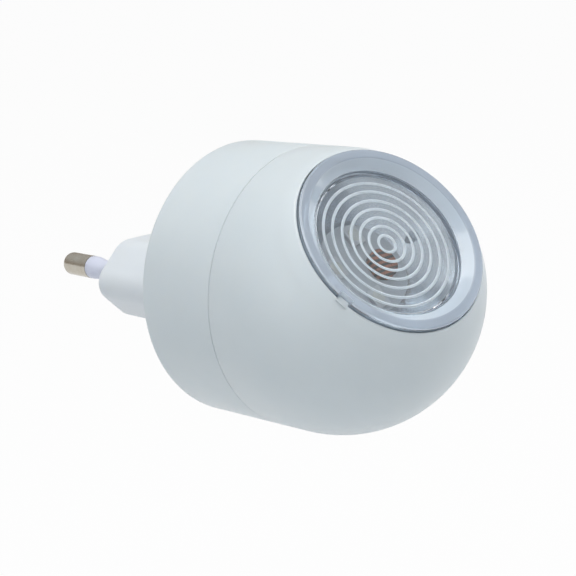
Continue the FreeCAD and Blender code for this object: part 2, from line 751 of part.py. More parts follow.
def reflector():
    """The silvered dish between lens and lamp board, with two screw bosses behind."""
    slope = (REFLECTOR_MOUTH - REFLECTOR_THROAT) / (SKIRT_AT - BOARD_TOP_AT)
    back = REFLECTOR_WALL * math.sqrt(1 + slope * slope)
    rim = LENS_RADIUS - LENS_FIT
    ledge_back = REFLECTOR_THROAT + slope * (LEDGE_AT - BOARD_TOP_AT) + back
    ledge_back = min(ledge_back, LEDGE_HOLE - LEDGE_AIR)
    body = spin(
        [
            (REFLECTOR_THROAT, BOARD_TOP_AT),
            (REFLECTOR_THROAT + back, BOARD_TOP_AT),
            (ledge_back, LEDGE_AT),
            (rim, LEDGE_AT),
            (rim, SKIRT_AT),
            (REFLECTOR_MOUTH, SKIRT_AT),
        ],
        "z",
    )
    hollow = spin(
        [
            (0, BOARD_TOP_AT - OVER),
            (REFLECTOR_THROAT, BOARD_TOP_AT - OVER),
            (REFLECTOR_THROAT, BOARD_TOP_AT),
            (REFLECTOR_MOUTH, SKIRT_AT),
            (0, SKIRT_AT),
        ],
        "z",
    )
    top = LEDGE_AT - LEDGE_THICK
    for side in (-1, 1):
        boss = tube_z(REFLECTOR_BOSS_RADIUS, BOARD_TOP_AT, top, side * REFLECTOR_BOSS_PITCH, 0)
        body = body.fuse(boss.cut(hollow))
    for side in (-1, 1):
        depth = LAMP_SCREW_LENGTH - BOARD_THICK
        at = side * REFLECTOR_BOSS_PITCH
        bore = tube_z(LAMP_SCREW_RADIUS, BOARD_TOP_AT - NEAR, BOARD_TOP_AT + depth, at, 0)
        body = body.cut(bore)
    notch = key_notch(LEDGE_AT - OVER, SKIRT_AT + OVER)
    body = body.cut(around_z(notch, KEY_ANGLE))
    return lens_place(body.removeSplitter())


def lamp_board():
    """The round board behind the reflector."""
    board = tube_z(LAMP_BOARD_RADIUS, BOARD_BACK_AT, BOARD_TOP_AT)
    for side in (-1, 1):
        hole = tube_z(
            LAMP_SCREW_RADIUS + HOLE_CLEARANCE, BOARD_BACK_AT - OVER, BOARD_TOP_AT + OVER,
            side * REFLECTOR_BOSS_PITCH, 0,
        )
        board = board.cut(hole)
    return head_place(lens_tilted(board).cut(hub_space()))


def leds():
    """Three surface lamps around the sensor, each a flat case with a low dome."""
    wide, long, high = LED
    group = []
    for x, y in pitch_points(LED_PITCH, LED_ANGLES):
        case = block((wide, long, high), (x - wide / 2, y - long / 2, BOARD_TOP_AT))
        dome = Part.makeSphere(2 * LED_DOME_RADIUS, V(x, y, BOARD_TOP_AT + high - 1.732 * LED_DOME_RADIUS))
        dome = dome.common(tube_z(2 * LED_DOME_RADIUS, BOARD_TOP_AT + high, BOARD_TOP_AT + 4 * high, x, y))
        group.append(case.fuse(dome))
    return lens_place(Part.makeCompound(group))


def light_sensor():
    """The round light-dependent resistor that switches the lamp on in the dark."""
    x, y = SENSOR_AT
    disc = tube_z(SENSOR_RADIUS, BOARD_TOP_AT, BOARD_TOP_AT + SENSOR_THICK, x, y)
    for side in (-1, 1):
        size = (0.5, 2 * SENSOR_RADIUS, SENSOR_THICK + 2 * OVER)
        offset = side * (SENSOR_RADIUS - 0.2) - 0.25
        disc = disc.cut(block(size, (x + offset + side * 0.25, y - SENSOR_RADIUS, BOARD_TOP_AT - OVER)))
    disc = round_edges(disc, 0.25, lambda e: middle(e).z > BOARD_TOP_AT + SENSOR_THICK - NEAR)
    return lens_place(disc)


def lamp_resistors():
    """Three chip resistors behind the lamp board."""
    wide, long, high = CHIP
    chips = []
    for x, y in CHIP_AT:
        chips.append(block(CHIP, (x - wide / 2, y - long / 2, BOARD_BACK_AT - high)))
    return lens_place(Part.makeCompound(chips))


def sensor_transistor():
    """The small transistor that the sensor drives, with three feet."""
    wide, long, high = TRANSISTOR
    x, y = TRANSISTOR_AT
    case = block((wide, long, high - 0.1), (x - wide / 2, y - long / 2, BOARD_BACK_AT - high))
    for step, side in ((-0.95, 1), (0.95, 1), (0.0, -1)):
        corner = (x + step - 0.2, y + side * long / 2 - 0.5, BOARD_BACK_AT - 0.25)
        case = case.fuse(block((0.4, 1.0, 0.25), corner))
    return lens_place(case)


def lamp_board_screws():
    """Two pan-head screws from behind the lamp board into the reflector's bosses."""
    screws = []
    for side in (-1, 1):
        screw = pan_screw(LAMP_SCREW_HEAD, LAMP_SCREW_HEAD_HEIGHT, LAMP_SCREW_RADIUS, LAMP_SCREW_LENGTH)
        screw.rotate(V(0, 0, 0), V(1, 0, 0), 180)
        screw.translate(V(side * REFLECTOR_BOSS_PITCH, 0, BOARD_BACK_AT))
        screws.append(screw)
    return lens_place(Part.makeCompound(screws))


def swivel_hub():
    """The head's rear plate: hollow neck through the ring, thrust pad and stop peg."""
    hub = tube_y(INNER_RADIUS - SHELL_FIT, HUB_FRONT_Y, HEAD_Y)
    hub = hub.fuse(tube_y(NECK_RADIUS, HUB_FRONT_Y, NECK_END_Y))
    hub = hub.fuse(tube_y(NECK_RADIUS + THRUST_PAD_WIDTH, HUB_FRONT_Y, SEAM_Y - THRUST_PLAY))
    peg_end = SEAM_Y + CHANNEL_DEPTH - CHANNEL_FLOOR_GAP
    hub = hub.fuse(tube_y(PEG_RADIUS, HUB_FRONT_Y, peg_end, 0, -CHANNEL_MIDDLE))
    hub = hub.cut(tube_y(NECK_BORE, HUB_FRONT_Y - OVER, NECK_END_Y + OVER))
    for x, z in pitch_points(POST_PITCH, HUB_POST_ANGLES):
        hub = hub.cut(facing_rear(flat_hole(HUB_THICK), x, HEAD_Y, z))
    for x, z in pitch_points(WASHER_SCREW_PITCH, WASHER_SCREW_ANGLES):
        depth = WASHER_SCREW_LENGTH - WASHER_THICK
        hub = hub.cut(tube_y(WASHER_SCREW_RADIUS, NECK_END_Y + NEAR, NECK_END_Y - depth, x, z))
    return head_place(hub.removeSplitter())


def hub_screws():
    """Three countersunk screws that hold the hub to the head's posts."""
    screws = []
    for x, z in pitch_points(POST_PITCH, HUB_POST_ANGLES):
        screws.append(facing_rear(flat_screw(SHANK_RADIUS, FLAT_SCREW_LENGTH), x, HEAD_Y, z))
    return head_place(Part.makeCompound(screws))


def wave_curve(radius, swing, centre_y):
    """One closed wavy line about the plug's axis."""
    points = []
    count = 12 * WAVE_COUNT
    for step in range(count):
        turn = 2 * math.pi * step / count
        y = centre_y + swing * math.cos(WAVE_COUNT * turn)
        points.append(V(radius * math.cos(turn), y, radius * math.sin(turn)))
    curve = Part.BSplineCurve()
    curve.interpolate(Points=points, PeriodicFlag=True)
    return curve.toShape()


def wave_washer():
    """The wavy spring washer that gives the head its friction."""
    swing = (WAVE_SPACE - WAVE_SHEET) / 2 - WAVE_PLAY
    low = (RING_BACK_Y + NECK_END_Y - WAVE_SHEET) / 2
    inner = wave_curve(NECK_RADIUS + 0.3, swing, low)
    outer = wave_curve(NECK_RADIUS + 0.3 + WAVE_WIDTH, swing, low)
    sheet = Part.makeRuledSurface(inner, outer)
    return head_place(sheet.extrude(V(0, WAVE_SHEET, 0)))


def retaining_washer():
    """The steel washer screwed to the neck's end behind the ring."""
    washer = tube_y(WASHER_RADIUS, NECK_END_Y, WASHER_BACK_Y)
    washer = washer.cut(tube_y(NECK_BORE + 0.2, NECK_END_Y - OVER, WASHER_BACK_Y + OVER))
    for x, z in pitch_points(WASHER_SCREW_PITCH, WASHER_SCREW_ANGLES):
        washer = washer.cut(
            tube_y(WASHER_SCREW_RADIUS + 0.1, NECK_END_Y - OVER, WASHER_BACK_Y + OVER, x, z)
        )
    return head_place(washer)


def retaining_screws():
    """Three pan-head screws that hold the washer to the neck."""
    screws = []
    for x, z in pitch_points(WASHER_SCREW_PITCH, WASHER_SCREW_ANGLES):
        screw = pan_screw(WASHER_HEAD_RADIUS, WASHER_HEAD_HEIGHT, WASHER_SCREW_RADIUS, WASHER_SCREW_LENGTH)
        screws.append(facing_rear(screw, x, WASHER_BACK_Y, z))
    return head_place(Part.makeCompound(screws))


def lead_cable():
    """The sheathed leads from the lamp board, bent once, down the hollow neck."""
    tilt = math.radians(LENS_TILT)
    back = V(0, math.cos(tilt), -math.sin(tilt))
    across = V(0, math.sin(tilt), math.cos(tilt))
    centre = V(0, DOME_Y, 0)
    tangent = CABLE_BEND * math.tan(tilt / 2)
    bend_start = centre - back * tangent
    bend_middle = bend_start + across * CABLE_BEND
    end_y = BOARD_FRONT_Y - HEADER[1] - CABLE_END_GAP
    first = Part.makeCylinder(CABLE_RADIUS, BOARD_BACK_AT - tangent, bend_start, back * -1)
    profile = Part.Face(Part.Wire([Part.makeCircle(CABLE_RADIUS, bend_start, back)]))
    bend = profile.revolve(bend_middle, V(1, 0, 0), LENS_TILT)
    last = tube_y(CABLE_RADIUS, DOME_Y + tangent, end_y)
    return head_place(first.fuse(bend).fuse(last).removeSplitter())


# Write every piece

PIECES = {
    "base_shell": base_shell,
    "plug_block": plug_block,
    "power_board": power_board,
    "board_screws": board_screws,
    "film_capacitor": film_capacitor,
    "smoothing_capacitor": smoothing_capacitor,
    "bridge_rectifier": bridge_rectifier,
    "fusible_resistor": fusible_resistor,
    "bleed_resistors": bleed_resistors,
    "wire_header": wire_header,
    "swivel_ring": swivel_ring,
    "swivel_ring_screws": swivel_ring_screws,
    "head_shell": head_shell,
    "lens": lens,
    "reflector": reflector,
    "lamp_board": lamp_board,
    "leds": leds,
    "light_sensor": light_sensor,
    "lamp_resistors": lamp_resistors,
    "sensor_transistor": sensor_transistor,
    "lamp_board_screws": lamp_board_screws,
    "swivel_hub": swivel_hub,
    "hub_screws": hub_screws,
    "wave_washer": wave_washer,
    "retaining_washer": retaining_washer,
    "retaining_screws": retaining_screws,
    "lead_cable": lead_cable,
}

SIDED = {
    "pin_left": (pin, -1),
    "pin_right": (pin, 1),
    "pin_sleeve_left": (sleeve, -1),
    "pin_sleeve_right": (sleeve, 1),
}


def save(name, shape):
    """Write one piece and print what it is."""
    if not shape.isValid():
        print(name, "is not valid")
    shape.exportStep("parts/" + name + ".step")
    print(name, len(shape.Solids), "solids, volume", round(shape.Volume, 2))


os.makedirs("parts", exist_ok=True)
for name, make in PIECES.items():
    save(name, make())
for name, (make, side) in SIDED.items():
    save(name, make(side))
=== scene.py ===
# %% [markdown]
# # A plug-in night light with a turning head
# The lamp plugs straight into a wall socket. A round base stays still, and a domed head
# with a clear ringed lens turns on it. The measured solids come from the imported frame.
# This file gives them their finish, and makes the pieces whose smooth curves and fine
# edges need a denser mesh than a machine solid has.

# %% Load the frame
import bpy
import bmesh
import math
from mathutils import Matrix, Vector


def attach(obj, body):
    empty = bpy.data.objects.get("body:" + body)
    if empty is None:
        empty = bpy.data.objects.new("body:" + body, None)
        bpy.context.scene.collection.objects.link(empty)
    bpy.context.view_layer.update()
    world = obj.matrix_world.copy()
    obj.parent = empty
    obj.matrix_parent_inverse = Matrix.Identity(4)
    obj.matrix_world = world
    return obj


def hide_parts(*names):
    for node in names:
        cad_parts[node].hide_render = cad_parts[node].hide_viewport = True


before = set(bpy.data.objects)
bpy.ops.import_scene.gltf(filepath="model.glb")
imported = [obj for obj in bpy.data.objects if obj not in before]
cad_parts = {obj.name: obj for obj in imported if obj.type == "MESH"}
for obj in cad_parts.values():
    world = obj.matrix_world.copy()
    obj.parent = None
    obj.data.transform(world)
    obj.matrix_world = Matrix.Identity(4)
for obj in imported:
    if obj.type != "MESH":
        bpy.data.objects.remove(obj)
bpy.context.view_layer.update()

# %% [markdown]
# ## Sizes and directions
# All sizes are in millimetres and are turned into metres when a piece is placed. The
# plug's axis is +Y, with the face of the plug nose at 0, and both shells are round about
# that axis where they meet. The lens has its own axis, tilted up from the front, through
# the middle of the dome. A piece could be drawn where it belongs, but on a slanted axis
# every number would be hard to read. So each is drawn standing on its own Z axis, which
# is the easy way to spin it, and then one matrix carries it to its place.

# %% Sizes of the shells
MM = 0.001
BODY_R = 22.5  # outside of the base and of the head
INNER_R = 20.6  # inside of both shells
REAR_Y = -17.5  # rear face of the base
FLOOR_Y = -19.5  # inner face of the base's rear wall
SEAM_Y = -33.1  # open edge of the base
HEAD_Y = -33.2  # open edge of the head
DOME_Y = -39.5  # middle of the dome
SEAM_ROUND = 0.08  # edge radius on both sides of the seam
HEAD_TURN = -11.0  # how far the head is turned at rest, in degrees
print("seam gap", round(SEAM_Y - HEAD_Y, 3))

# %% Sizes round the lens
LENS_TILT = 38.5  # lens axis above the front, in degrees
LENS_R = 15.5  # outside of the lens
BORE_R = 15.65  # opening that the lens sits in
LIP_R = 15.87  # where the flat lip meets the ball
CUT_AT = math.sqrt(BODY_R ** 2 - LIP_R ** 2)
LENS_PROUD = 0.85  # how far the lens stands out of the lip
LENS_TALL = 3.9
FLANGE_THICK = 0.9  # the reflector's flange, between the lens and its ledge
WELL_DEPTH = 5.5  # from the ledge down to the lamp board
LENS_TOP = CUT_AT + LENS_PROUD
SKIRT_AT = LENS_TOP - LENS_TALL
LEDGE_AT = SKIRT_AT - FLANGE_THICK
BOARD_TOP = LEDGE_AT - WELL_DEPTH
KEY_ANGLE = 196.5  # the rib that stops the lens from turning
CATCH_ANGLES = (-76.0, 44.0, 164.0)
print("lens cut", round(CUT_AT, 3), "lens top", round(LENS_TOP, 3))

# %% Placing matrices
SCALE = Matrix.Scale(MM, 4)
PLUG_AXIS = SCALE @ Matrix.Rotation(math.radians(-90), 4, "X")
HEAD_PLACE = SCALE @ Matrix.Rotation(math.radians(HEAD_TURN), 4, "Y")
LENS_AXIS = (
    HEAD_PLACE
    @ Matrix.Translation((0, DOME_Y, 0))
    @ Matrix.Rotation(math.radians(90 - LENS_TILT), 4, "X")
)
print("middle of the dome", [round(value, 4) for value in LENS_AXIS.translation])

# %% [markdown]
# ## Tools for turned pieces
# Nearly every visible piece of this lamp is round, so one helper spins a half section
# round the Z axis. Edges could be bevelled on the finished mesh, but that is slow and
# breaks easily where many faces meet. Here the corners are rounded while the section is
# still a bare line, by bevelling its vertices, and the spin carries them round.

# %% Turning helpers
SPIN_MERGE = 0.0008


def soften(bm, geom, radius, segments, affect="EDGES"):
    """Round edges, or the corners of a bare line. The radius is true at square ones."""
    bmesh.ops.bevel(
        bm, geom=geom, offset=radius, offset_type="OFFSET",
        segments=segments, profile=0.5, affect=affect, material=-1,
    )


def turned(section, rounds=(), steps=160, closed=False):
    """Spin a list of (radius, height) points round Z. rounds is a list of (index, radius)."""
    bm = bmesh.new()
    line = [bm.verts.new((radius, 0, height)) for radius, height in section]
    for first, second in zip(line, line[1:]):
        bm.edges.new((first, second))
    if closed:
        bm.edges.new((line[-1], line[0]))
    for index, radius in rounds:
        soften(bm, [line[index]], radius, 6, "VERTICES")
    spin_all(bm, steps)
    return bm


def spin_all(bm, steps):
    """Spin whatever is in the mesh once round Z and close the seam and the poles."""
    bmesh.ops.spin(
        bm, geom=bm.verts[:] + bm.edges[:], cent=(0, 0, 0), axis=(0, 0, 1),
        dvec=(0, 0, 0), angle=2 * math.pi, steps=steps, use_merge=True, use_duplicate=False,
    )
    bmesh.ops.remove_doubles(bm, verts=bm.verts[:], dist=SPIN_MERGE)
    bmesh.ops.recalc_face_normals(bm, faces=bm.faces[:])


# %% [markdown]
# A bmesh is only a sketch until an object holds it. Two small helpers write it into a
# mesh and put that in the scene. The third bakes the piece's place into the mesh, because
# the export wants every object at the origin, smooths it, marks its sharp edges by angle,
# adds its finishes, and hangs it on the body that it moves with. Where the piece stands
# for measured solids, it says which.

# %% Object helpers
def new_mesh(name, bm):
    """Write a bmesh into a new mesh, and free it."""
    mesh = bpy.data.meshes.new(name)
    bm.to_mesh(mesh)
    bm.free()
    return mesh


def put_in_scene(name, data):
    """Make an object of a mesh, a light or a camera, and link it to the scene."""
    thing = bpy.data.objects.new(name, data)
    bpy.context.scene.collection.objects.link(thing)
    return thing


def add_piece(bm, name, place, finishes, body, stands_for=(), sharp=32):
    """Make the object, with its place in its mesh, and hang it on its body."""
    bm.transform(place)
    mesh = new_mesh(name, bm)
    mesh.polygons.foreach_set("use_smooth", [True] * len(mesh.polygons))
    mesh.set_sharp_from_angle(angle=math.radians(sharp))
    piece = put_in_scene(name, mesh)
    for finish in finishes:
        mesh.materials.append(finish)
    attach(piece, body)
    if stands_for:
        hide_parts(*stands_for)
    print(name, len(mesh.polygons), "faces")
    return piece


# %% [markdown]
# Some features don't follow the spin, such as the opening for the nose, the pockets
# round the pins, and the key, the notch and the catches of the lens. They are shapes of
# their own that are poured into a mesh, or carved into it with a boolean where a clean
# cut has to show.

# %% Joining and carving helpers
CARVE_MERGE = 0.0005


def join_into(target, other):
    """Pour one bmesh into another and drop the second."""
    holder = new_mesh("holder", other)
    target.from_mesh(holder)
    bpy.data.meshes.remove(holder)


def carved(bm, cutter, how="DIFFERENCE"):
    """Cut one bmesh with another through an exact boolean, and hand back a new bmesh."""
    body = put_in_scene("carve_body", new_mesh("carve_body", bm))
    tool = put_in_scene("carve_tool", new_mesh("carve_tool", cutter))
    step = body.modifiers.new("carve", "BOOLEAN")
    step.operation = how
    step.solver = "EXACT"
    step.object = tool
    bpy.context.view_layer.update()
    result = bmesh.new()
    result.from_object(body, bpy.context.evaluated_depsgraph_get())
    for thing in (body, tool):
        mesh = thing.data
        bpy.data.objects.remove(thing)
        bpy.data.meshes.remove(mesh)
    bmesh.ops.remove_doubles(result, verts=result.verts[:], dist=CARVE_MERGE)
    return result


# %% Brick helpers
FINE_EDGE = 0.08  # edge radius of small moulded features


def brick(size, centre, edge=0.0):
    """A box from its size and its middle, with softened edges where an edge is given."""
    bm = bmesh.new()
    bmesh.ops.create_cube(bm, size=1.0)
    bmesh.ops.scale(bm, vec=size, verts=bm.verts[:])
    bmesh.ops.translate(bm, vec=centre, verts=bm.verts[:])
    if edge:
        soften(bm, bm.edges[:], edge, 3)
    return bm


def swung(bm, degrees):
    """Turn a bmesh round the Z axis it stands on."""
    turn = Matrix.Rotation(math.radians(degrees), 3, "Z")
    bmesh.ops.rotate(bm, cent=(0, 0, 0), matrix=turn, verts=bm.verts[:])
    return bm


# %% [markdown]
# ## Shared surface effects
# Moulded plastic is never quite even. It carries the fine texture of the mould, long
# soft waves where it shrank, and faint rubbing marks. Metal pins show the fine lines
# they were drawn with. An image could hold such marks, but it would need unwrapping and
# would stretch over the dome. Three node groups make them instead, so that each finish
# can use them with its own values. They read Object coordinates and give out only
# values and normals.

# %% Helpers for node groups
def new_group(name, inputs, outputs):
    """An empty shader node group with named sockets, and its two end nodes."""
    group = bpy.data.node_groups.new(name, "ShaderNodeTree")
    for label, kind, value in inputs:
        socket = group.interface.new_socket(name=label, in_out="INPUT", socket_type=kind)
        socket.default_value = value
    for label, kind in outputs:
        group.interface.new_socket(name=label, in_out="OUTPUT", socket_type=kind)
    start = group.nodes.new("NodeGroupInput")
    end = group.nodes.new("NodeGroupOutput")
    return group, start, end


def noise(tree, scale, detail=3.0, rough=0.5):
    """A noise texture on coordinates that the caller links."""
    node = tree.nodes.new("ShaderNodeTexNoise")
    node.inputs["Scale"].default_value = scale
    node.inputs["Detail"].default_value = detail
    node.inputs["Roughness"].default_value = rough
    return node


def maths(tree, operation, first=None, second=None):
    """A math node with constants where given."""
    node = tree.nodes.new("ShaderNodeMath")
    node.operation = operation
    if first is not None:
        node.inputs[0].default_value = first
    if second is not None:
        node.inputs[1].default_value = second
    return node


# %% Mould texture group
GRAIN_SCALE = 2600.0
WAVE_SCALE = 60.0
GRAIN_HEIGHT = 0.00002
WAVE_HEIGHT = 0.0003


def build_mould_texture():
    """Fine mould grain plus long shrink waves, as a normal."""
    group, start, end = new_group(
        "mould_texture",
        [("Grain Scale", "NodeSocketFloat", GRAIN_SCALE), ("Grain", "NodeSocketFloat", 0.05),
         ("Waves", "NodeSocketFloat", 0.1)],
        [("Normal", "NodeSocketVector")],
    )
    place = group.nodes.new("ShaderNodeTexCoord")
    grain = noise(group, GRAIN_SCALE, 2.0)
    waves = noise(group, WAVE_SCALE, 1.0)
    grain_bump = group.nodes.new("ShaderNodeBump")
    grain_bump.inputs["Distance"].default_value = GRAIN_HEIGHT
    wave_bump = group.nodes.new("ShaderNodeBump")
    wave_bump.inputs["Distance"].default_value = WAVE_HEIGHT
    link = group.links.new
    link(place.outputs["Object"], grain.inputs["Vector"])
    link(place.outputs["Object"], waves.inputs["Vector"])
    link(start.outputs["Grain Scale"], grain.inputs["Scale"])
    link(start.outputs["Grain"], grain_bump.inputs["Strength"])
    link(start.outputs["Waves"], wave_bump.inputs["Strength"])
    link(waves.outputs["Fac"], wave_bump.inputs["Height"])
    link(grain.outputs["Fac"], grain_bump.inputs["Height"])
    link(wave_bump.outputs["Normal"], grain_bump.inputs["Normal"])
    link(grain_bump.outputs["Normal"], end.inputs["Normal"])
    return group


MOULD_TEXTURE = build_mould_texture()
print("group", MOULD_TEXTURE.name)

# %% Handling marks group
SMEAR_SCALE = 120.0


def build_handling_marks():
    """A mask of faint rubbing and finger smears that a roughness can add."""
    group, start, end = new_group(
        "handling_marks",
        [("Scale", "NodeSocketFloat", SMEAR_SCALE), ("Amount", "NodeSocketFloat", 0.5)],
        [("Mask", "NodeSocketFloat")],
    )
    place = group.nodes.new("ShaderNodeTexCoord")
    smear = noise(group, SMEAR_SCALE, 5.0, 0.6)
    smear.inputs["Distortion"].default_value = 0.6
    edge = group.nodes.new("ShaderNodeMapRange")
    edge.inputs["From Min"].default_value = 0.45
    edge.inputs["From Max"].default_value = 0.75
    strength = maths(group, "MULTIPLY")
    link = group.links.new
    link(place.outputs["Object"], smear.inputs["Vector"])
    link(start.outputs["Scale"], smear.inputs["Scale"])
    link(smear.outputs["Fac"], edge.inputs["Value"])
    link(edge.outputs["Result"], strength.inputs[0])
    link(start.outputs["Amount"], strength.inputs[1])
    link(strength.outputs["Value"], end.inputs["Mask"])
    return group


HANDLING_MARKS = build_handling_marks()
print("group", HANDLING_MARKS.name)

# %% Drawn metal group
LINE_SCALE = 5200.0
LINE_HEIGHT = 0.00001
LINE_STRETCH = (1.0, 0.04, 1.0)


def build_drawn_lines():
    """Fine lines along the plug's axis, as on a drawn or turned pin."""
    group, start, end = new_group(
        "drawn_lines",
        [("Amount", "NodeSocketFloat", 0.3)],
        [("Mask", "NodeSocketFloat"), ("Normal", "NodeSocketVector")],
    )
    place = group.nodes.new("ShaderNodeTexCoord")
    stretch = group.nodes.new("ShaderNodeMapping")
    stretch.inputs["Scale"].default_value = LINE_STRETCH
    lines = noise(group, LINE_SCALE, 3.0)
    bump = group.nodes.new("ShaderNodeBump")
    bump.inputs["Distance"].default_value = LINE_HEIGHT
    strength = maths(group, "MULTIPLY")
    link = group.links.new
    link(place.outputs["Object"], stretch.inputs["Vector"])
    link(stretch.outputs["Vector"], lines.inputs["Vector"])
    link(lines.outputs["Fac"], strength.inputs[0])
    link(start.outputs["Amount"], strength.inputs[1])
    link(lines.outputs["Fac"], bump.inputs["Height"])
    link(start.outputs["Amount"], bump.inputs["Strength"])
    link(strength.outputs["Value"], end.inputs["Mask"])
    link(bump.outputs["Normal"], end.inputs["Normal"])
    return group


DRAWN_LINES = build_drawn_lines()
print("group", DRAWN_LINES.name)

# %% [markdown]
# ## Finishes
# Each finish starts from a Principled shader whose plain values sit on its own sockets.
# The parts that most finishes share are helpers: a soft change of tone between two close
# colours, handling marks that lift the roughness, and the mould's texture. That keeps a
# finish down to a line of values, which are easy to compare and to tune.

# %% Helpers for finishes
def blank_finish(name):
    """A material with an untouched Principled shader."""
    finish = bpy.data.materials.new(name)
    finish.use_nodes = True
    shader = finish.node_tree.nodes["Principled BSDF"]
    return finish, finish.node_tree, shader


def ramp(tree, low, high, low_at=0.0, high_at=1.0):
    """A colour ramp between two colours."""
    node = tree.nodes.new("ShaderNodeValToRGB")
    for index, colour, position in ((0, low, low_at), (1, high, high_at)):
        node.color_ramp.elements[index].position = position
        node.color_ramp.elements[index].color = (*colour, 1)
    return node


def two_tones(tree, shader, light, dark, scale):
    """Drift the base colour softly between two close tones."""
    place = tree.nodes.new("ShaderNodeTexCoord")
    drift = noise(tree, scale, 2.0)
    tones = ramp(tree, dark, light, 0.3, 0.7)
    tree.links.new(place.outputs["Object"], drift.inputs["Vector"])
    tree.links.new(drift.outputs["Fac"], tones.inputs["Fac"])
    tree.links.new(tones.outputs["Color"], shader.inputs["Base Color"])


def marked_roughness(tree, shader, plain, lift, scale=SMEAR_SCALE):
    """Let handling marks raise the roughness a little."""
    marks = tree.nodes.new("ShaderNodeGroup")
    marks.node_tree = HANDLING_MARKS
    marks.inputs["Scale"].default_value = scale
    marks.inputs["Amount"].default_value = lift
    total = maths(tree, "ADD", None, plain)
    tree.links.new(marks.outputs["Mask"], total.inputs[0])
    tree.links.new(total.outputs["Value"], shader.inputs["Roughness"])


def mould_surface(tree, shader, grain, waves, scale=GRAIN_SCALE):
    """Give the shader the mould's texture."""
    texture = tree.nodes.new("ShaderNodeGroup")
    texture.node_tree = MOULD_TEXTURE
    texture.inputs["Grain Scale"].default_value = scale
    texture.inputs["Grain"].default_value = grain
    texture.inputs["Waves"].default_value = waves
    tree.links.new(texture.outputs["Normal"], shader.inputs["Normal"])


# %% [markdown]
# The shells are a cool white plastic with a satin surface. The plug nose is the same
# white in a harder grade, and the pin sleeves are a faint lilac. In the two whites a
# little light sinks in, which softens the change from light to shade over the dome.
# A higher roughness alone would flatten the dome instead of softening it.

# %% Opaque plastics
PLASTIC_IOR = 1.5


def plastic(name, light, dark, rough, grain=0.15, waves=0.05):
    """A moulded plastic with soft tone changes, marks and mould texture."""
    finish, tree, shader = blank_finish(name)
    two_tones(tree, shader, light, dark, 90.0)
    marked_roughness(tree, shader, rough, 0.08)
    mould_surface(tree, shader, grain, waves)
    shader.inputs["IOR"].default_value = PLASTIC_IOR
    return finish


def let_light_sink(finish, weight, depth):
    """Let light sink into a plastic, to a depth in millimetres."""
    shader = finish.node_tree.nodes["Principled BSDF"]
    shader.inputs["Subsurface Weight"].default_value = weight
    shader.inputs["Subsurface Radius"].default_value = (1.0, 0.9, 0.8)
    shader.inputs["Subsurface Scale"].default_value = depth * MM


SHELL_WHITE = plastic(
    "shell_white", (0.70, 0.765, 0.80), (0.675, 0.745, 0.785), 0.36, grain=0.12, waves=0.04
)
let_light_sink(SHELL_WHITE, 0.35, 1.5)
NOSE_WHITE = plastic("nose_white", (0.78, 0.83, 0.87), (0.75, 0.8, 0.85), 0.42, grain=0.2)
let_light_sink(NOSE_WHITE, 0.25, 1.0)
SLEEVE_LILAC = plastic("sleeve_lilac", (0.7, 0.735, 0.87), (0.67, 0.7, 0.85), 0.3, grain=0.1)
BEARING_WHITE = plastic("bearing_white", (0.63, 0.65, 0.66), (0.6, 0.62, 0.63), 0.5)
print("white plastics ready")

# %% [markdown]
# The pins are nickel plated, the screws and the washer zinc plated, and the wave spring
# is bright steel. Their drawn lines run along the plug, which stretches the highlights a
# little across it. The reflector is a plastic dish with a satin silver coat, so it isn't
# quite a full metal and has the mould's texture instead of lines.

# %% Metals
def metal(name, light, dark, rough, lines=0.2):
    """A plated or rolled metal with fine lines along the plug."""
    finish, tree, shader = blank_finish(name)
    two_tones(tree, shader, light, dark, 260.0)
    shader.inputs["Metallic"].default_value = 1.0
    drawn = tree.nodes.new("ShaderNodeGroup")
    drawn.node_tree = DRAWN_LINES
    drawn.inputs["Amount"].default_value = lines
    total = maths(tree, "ADD", None, rough)
    tree.links.new(drawn.outputs["Mask"], total.inputs[0])
    tree.links.new(total.outputs["Value"], shader.inputs["Roughness"])
    tree.links.new(drawn.outputs["Normal"], shader.inputs["Normal"])
    return finish


PIN_NICKEL = metal("pin_nickel", (0.56, 0.55, 0.5), (0.47, 0.43, 0.36), 0.16, 0.16)
SCREW_ZINC = metal("screw_zinc", (0.6, 0.61, 0.62), (0.5, 0.51, 0.53), 0.28)
SPRING_BRIGHT = metal("spring_bright", (0.5, 0.5, 0.51), (0.42, 0.42, 0.44), 0.24)
REFLECTOR_SILVER, silver_tree, silver_shader = blank_finish("reflector_silver")
two_tones(silver_tree, silver_shader, (0.53, 0.585, 0.64), (0.5, 0.555, 0.61), 140.0)
silver_shader.inputs["Metallic"].default_value = 0.85
marked_roughness(silver_tree, silver_shader, 0.24, 0.03, 200.0)
mould_surface(silver_tree, silver_shader, 0.15, 0.03, 1800.0)
print("metals ready")

# %% [markdown]
# The lens is clear acrylic. Its refraction and its gloss come from the shader, with a
# plain Transmission Weight. The flanks of its ring grooves are matt and near white, a
# painted highlight, so they catch light as thin bright lines. The rim and the cone show
# soft pale tones and little of what lies behind them, so they get milky finishes, which
# are a painted reflection of the pale surroundings, and the inner wall a frosted one. The
# outer wall gets a dark grey finish, painted shade for the shadowed gap round the lens.
# All of them sit on the same mesh. Clear all over, the edge of the lens would turn into a
# muddle of small refractions.

# %% Clear plastics
ACRYLIC_IOR = 1.49


def acrylic(name, light, dark, through, rough, lift, grain, waves, tone_scale, mark_scale):
    """Acrylic that lets through the given share of the light."""
    finish, tree, shader = blank_finish(name)
    two_tones(tree, shader, light, dark, tone_scale)
    shader.inputs["Transmission Weight"].default_value = through
    shader.inputs["IOR"].default_value = ACRYLIC_IOR
    marked_roughness(tree, shader, rough, lift, mark_scale)
    mould_surface(tree, shader, grain, waves)
    return finish


